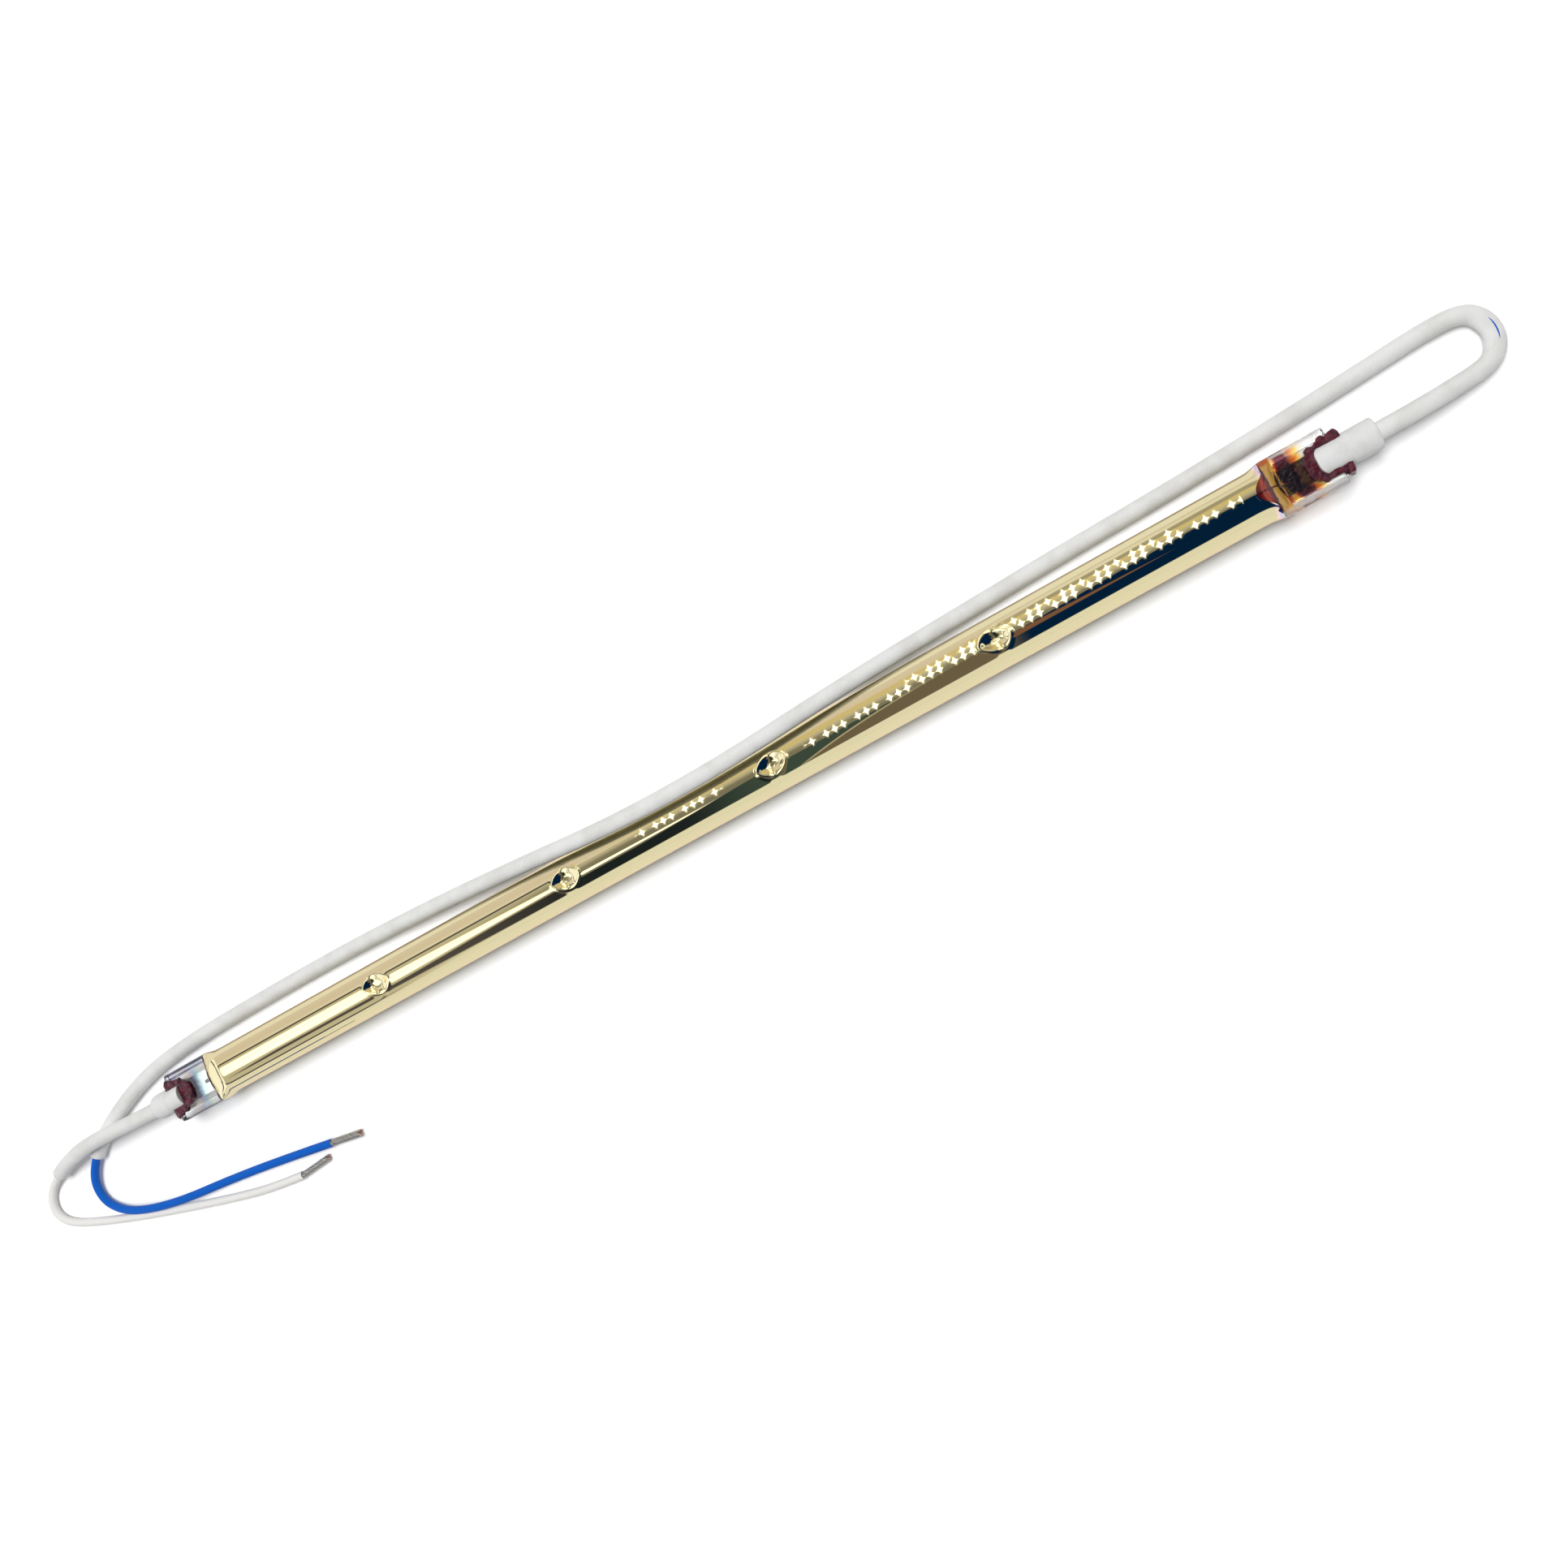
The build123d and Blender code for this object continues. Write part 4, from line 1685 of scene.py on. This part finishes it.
    def dark_figure(self, light: Signal, lean: Signal, slope: Signal) -> Signal:
        """Draw the dark shape that leans over the near side, and what shows through it.

        Args:
            light: the light so far.
            lean: the direction's lean.
            slope: the direction's slope.

        Returns:
            The light's colour.
        """
        top = slope.step(-0.46, -0.62) * 15.0 + slope.step(-0.70, -0.76) * 7.0 + 22.0
        top = top - slope.step(-0.38, -0.26) * 18.0 - slope.step(-0.12, 0.08) * 15.0
        bottom = slope.step(-0.68, -0.42) * 14.0 + 49.5
        ends = slope.step(-0.77, -0.73) * slope.step(1.0, 0.9)
        hazy = slope.step(-0.34, -0.26) * slope.step(-0.06, -0.09)
        fall = self.tree.maths("EXPONENT", (slope + 0.236) * (-1 / 0.055))
        under = lean - (fall * 65.0 - 5.0)
        rim = under.band(-3.5, 2.0, 2.5) * slope.step(-0.27, -0.22) * slope.step(-0.06, -0.20)
        wedge = self.zone(lean, (slope + 0.08) * 190.0, 23.0, 1.5) * slope.step(-0.085, -0.065)
        dark = self.tree.blend(slope.step(-0.14, -0.07), self.night, self.figure)
        tone = self.lay(
            self.shade,
            (slope.step(-0.56, -0.40), dark),
            (hazy, self.moss),
            (hazy * under.step(-1.0, 2.0), self.brown),
            (rim, self.ledge),
            (wedge, self.rust),
        )
        return self.lay(light, (self.zone(lean, top, bottom, 2.5) * ends, tone))

    def far_ends(self, light: Signal, slope: Signal) -> Signal:
        """Light the room's two ends, which only curved glass shows, with a dark bar in each.

        Args:
            light: the light so far.
            slope: the direction's slope.

        Returns:
            The light's colour.
        """
        ends = slope.step(-0.98, -1.04).most(slope.step(0.95, 1.05))
        bars = slope.band(-1.34, -1.20, 0.02).most(slope.band(1.25, 1.4, 0.02))
        return self.lay(light, (ends, self.room_end), (bars, self.end_bar))

    def sparkles(self, light: Signal, lean: Signal, slope: Signal) -> Signal:
        """Add the rows of small lamps, as four-pointed stars in groups of three.

        Args:
            light: the light so far.
            lean: the direction's lean.
            slope: the direction's slope.

        Returns:
            The light with the lamps in it.
        """
        pitch = self.star_pitch
        for middle, drift, first, last, start in self.star_rows:
            rise = (lean - ((slope - first) * drift + middle)) * (1 / self.star_height)
            group = (slope + (1.0 + start)) % self.star_group
            side = (group % pitch - pitch / 2) * (1 / (pitch * 0.52))
            shape = abs(rise) ** 0.5 + abs(side) ** 0.5
            lit = shape.step(1.02, 0.92) * group.step(3 * pitch, 3 * pitch - 0.0004)
            light = self.lay(light, (lit * slope.band(first, last, 0.002), self.star))
        return light


@dataclass
class Studio:
    """A pale floor, soft light, the room in the mirror, and the camera."""

    floor_size: float = 6.0
    floor_white: Colour = (0.90, 0.90, 0.905)
    floor_lift: float = 0.09
    sky: float = 0.22
    key_place: Point = (0.0, 0.45, 3.0)
    key_size: float = 1.5
    key_power: float = 84.0
    camera_place: Point = (100.5, -42.9, 311.0)
    camera_slide: float = 14.4
    camera_lean: float = 8.0
    camera_nudge: float = 0.765
    camera_roll: float = 29.02
    focal_pixels: float = 1850.0
    picture_pixels: float = 1932.0
    sensor: float = 36.0

    def floor(self) -> None:
        """Lay the floor: pale where the camera sees it, with the lamp's shadow kept."""
        corners = np.array([(-1, -1, 0), (1, -1, 0), (1, 1, 0), (-1, 1, 0)])
        mesh = make_mesh("floor", corners * self.floor_size / 2 / MM, [(0, 1, 2, 3)])
        thing = make_object("floor", mesh)
        material = bpy.data.materials.new("pale_floor")
        material.use_nodes = True
        tree = Tree(material.node_tree)
        seen = tree.ray(Ray.CAMERA, Ray.GLOSSY, Ray.TRANSMISSION)
        values: Sockets = {
            "Base Color": self.floor_white,
            "Roughness": 1.0,
            "Specular IOR Level": 0.0,
            "Emission Color": self.floor_white,
            "Emission Strength": seen * self.floor_lift,
        }
        for name, value in values.items():
            tree.feed(tree.nodes["Principled BSDF"].inputs[name], value)
        thing.data.materials.append(material)

    def world(self) -> None:
        """Light the world evenly, and show the room to mirrors alone."""
        world = bpy.data.worlds.new("studio")
        world.use_nodes = True
        bpy.context.scene.world = world
        tree = Tree(world.node_tree)
        seen = tree.ray(Ray.CAMERA, Ray.TRANSMISSION)
        light = tree.blend(seen, (self.sky, self.sky, self.sky), (1.0, 1.0, 1.0))
        mirrored = tree.ray(Ray.GLOSSY) * tree.ray(Ray.DIFFUSE_BOUNCES).step(0.9, 0.1)
        light = tree.blend(mirrored, light, Room(tree).paint())
        background = tree.nodes["Background"]
        tree.feed(background.inputs["Color"], light)
        tree.feed(background.inputs["Strength"], 1.0)

    def key_lamp(self) -> None:
        """Hang a soft lamp that mirrors don't show, pointed at the middle of the tube."""
        light = bpy.data.lights.new("key_lamp", "AREA")
        light.shape = "SQUARE"
        light.size = self.key_size
        light.energy = self.key_power
        thing = make_object("key_lamp", light)
        thing.location = self.key_place
        thing.rotation_euler = (-Vector(self.key_place)).to_track_quat("-Z", "Y").to_euler()
        thing.visible_glossy = False

    def camera(self) -> None:
        """Set up the camera from its place and its four angles."""
        slide, lean, nudge, roll = (
            math.radians(angle)
            for angle in (self.camera_slide, self.camera_lean, self.camera_nudge, self.camera_roll)
        )
        along = Vector((1.0, 0.0, 0.0))
        down = Vector((0.0, math.sin(lean), -math.cos(lean)))
        across = down.cross(along)
        ahead = math.cos(slide) * down - math.sin(slide) * along
        level = math.cos(slide) * along + math.sin(slide) * down
        forward = math.cos(nudge) * ahead + math.sin(nudge) * across
        below = math.cos(nudge) * across - math.sin(nudge) * ahead
        right = math.cos(roll) * level + math.sin(roll) * below
        lower = math.cos(roll) * below - math.sin(roll) * level
        lens = bpy.data.cameras.new("camera")
        lens.sensor_width = self.sensor
        lens.lens = self.focal_pixels / self.picture_pixels * self.sensor
        lens.clip_start = 0.01
        lens.clip_end = 20.0
        thing = make_object("camera", lens)
        turn = Matrix((right, -lower, -forward)).transposed().to_4x4()
        thing.matrix_world = Matrix.Translation(Vector(self.camera_place) * MM) @ turn
        bpy.context.scene.camera = thing

    def build(self) -> None:
        """Set up the whole studio."""
        self.floor()
        self.world()
        self.key_lamp()
        self.camera()
        bpy.context.scene.view_settings.view_transform = "Standard"


RIGHT_ROUTE: tuple[Point, ...] = (
    (152.8, 0.0, 5.5),
    (162.0, 0.0, 5.5),
    (172.5, 0.6, 3.6),
    (180.3, 1.5, 1.9),
    (183.6, 4.8, 1.9),
    (183.6, 9.4, 1.9),
    (180.3, 12.7, 1.9),
    (173.0, 13.1, 1.9),
    (162.0, 12.4, 1.9),
    (144.0, 11.4, 1.9),
    (119.0, 10.5, 1.9),
    (94.0, 10.1, 1.9),
    (74.5, 9.4, 2.4),
    (55.0, 8.4, 5.3),
    (36.0, 6.8, 9.6),
    (17.0, 5.2, 11.7),
    (-1.0, 4.8, 12.1),
    (-19.0, 5.5, 11.2),
    (-38.0, 7.6, 8.2),
    (-62.0, 9.9, 4.2),
    (-90.0, 11.4, 1.9),
    (-118.0, 11.4, 1.9),
    (-142.0, 10.9, 1.9),
    (-158.5, 8.6, 1.9),
    (-175.0, 1.3, 1.9),
    (-182.5, -5.9, 1.9),
    (-183.3, -12.6, 1.1),
    (-178.5, -17.5, 1.7),
    (-170.5, -20.3, 3.0),
    (-160.5, -22.2, 2.7),
    (-148.0, -23.0, 1.1),
    (-132.4, -24.6, 1.1),
    (-117.4, -26.6, 1.1),
)
LEFT_ROUTE: tuple[Point, ...] = (
    (-152.4, 0.0, 5.5),
    (-160.0, 0.0, 5.5),
    (-169.5, 0.4, 6.4),
    (-178.5, 0.3, 6.2),
    (-186.5, -0.8, 3.7),
    (-194.9, -3.4, 1.2),
    (-197.6, -7.0, 1.1),
    (-197.4, -11.0, 1.1),
    (-194.3, -14.2, 1.1),
    (-187.0, -17.0, 1.1),
    (-176.0, -20.4, 1.1),
    (-163.0, -23.8, 1.1),
    (-149.0, -27.2, 1.1),
    (-137.5, -29.5, 1.1),
    (-128.1, -30.2, 1.1),
)
RIGHT_LEAD = Lead(
    side=Side.RIGHT,
    route=RIGHT_ROUTE,
    sleeve_corner=24,
    wire_length=485.1,
    exit_x=156.3,
    insulation=BLUE_INSULATION,
    strand_radius=0.9,
    twist_seed=7,
    kink=0.22,
)
LEFT_LEAD = Lead(
    side=Side.LEFT,
    route=LEFT_ROUTE,
    sleeve_corner=4,
    wire_length=124.4,
    exit_x=-154.8,
    insulation=WHITE_INSULATION,
    strand_radius=0.8,
    twist_seed=11,
    strand_bend=0.19,
)
RIGHT_CAP = CeramicCap(
    side=Side.RIGHT,
    radius=3.3,
    neck_radius=3.1,
    tongue_overlap=3.9,
    tongue_round=2.3,
    collar=2.4,
    beyond_pinch=8.3,
    seat_depth=3.5,
    edge_round=0.35,
)
LEFT_CAP = CeramicCap(
    side=Side.LEFT,
    radius=3.05,
    neck_radius=2.85,
    tongue_overlap=2.4,
    tongue_round=0.7,
    collar=1.5,
    beyond_pinch=6.8,
    seat_depth=2.4,
    edge_round=2.0,
)
RIGHT_CEMENT = CementBead(
    side=Side.RIGHT,
    outline=(
        (1.8, -4.3),
        (-0.4, -3.8),
        (-3.0, -3.7),
        (-5.2, -2.6),
        (-6.1, -0.4),
        (-5.7, 2.0),
        (-3.6, 3.6),
        (-0.6, 4.1),
        (2.0, 4.1),
    ),
    lumps=(
        (1.0, 3.6, 0.6, 1.1),
        (0.8, -3.8, 0.4, 1.1),
        (-5.3, -1.7, 1.0, 0.95),
        (-5.5, 0.9, 1.1, 0.85),
        (-4.0, 3.0, 1.1, 0.9),
        (-3.4, -3.2, 1.1, 0.9),
        (-1.2, 3.9, 0.9, 0.8),
    ),
)
LEFT_CEMENT = CementBead(
    side=Side.LEFT,
    outline=(
        (0.9, -4.1),
        (-1.6, -4.2),
        (-3.6, -3.4),
        (-5.4, -2.2),
        (-5.9, -0.2),
        (-5.4, 1.8),
        (-4.0, 3.2),
        (-1.8, 4.0),
        (0.8, 4.2),
    ),
    lumps=(
        (0.6, 3.9, 0.2, 1.2),
        (0.6, -4.0, 0.2, 1.2),
        (-4.9, -1.5, 1.0, 0.95),
        (-5.1, 1.0, 1.1, 0.85),
        (-3.2, 3.1, 1.0, 0.9),
        (-2.2, -3.7, 1.0, 0.85),
    ),
)
PIECES = (RIGHT_LEAD, LEFT_LEAD, QuartzEnvelope(), RIGHT_CAP, LEFT_CAP, RIGHT_CEMENT, LEFT_CEMENT)


def main() -> None:
    """Load the frame, build the lamp and its studio, and log each wire's length."""
    logging.basicConfig(level=logging.INFO, format="%(name)s: %(message)s")
    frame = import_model()
    dress_metal(frame)
    for piece in PIECES:
        piece.build()
    Studio().build()
    bpy.context.view_layer.update()


if __name__ == "__main__":
    main()
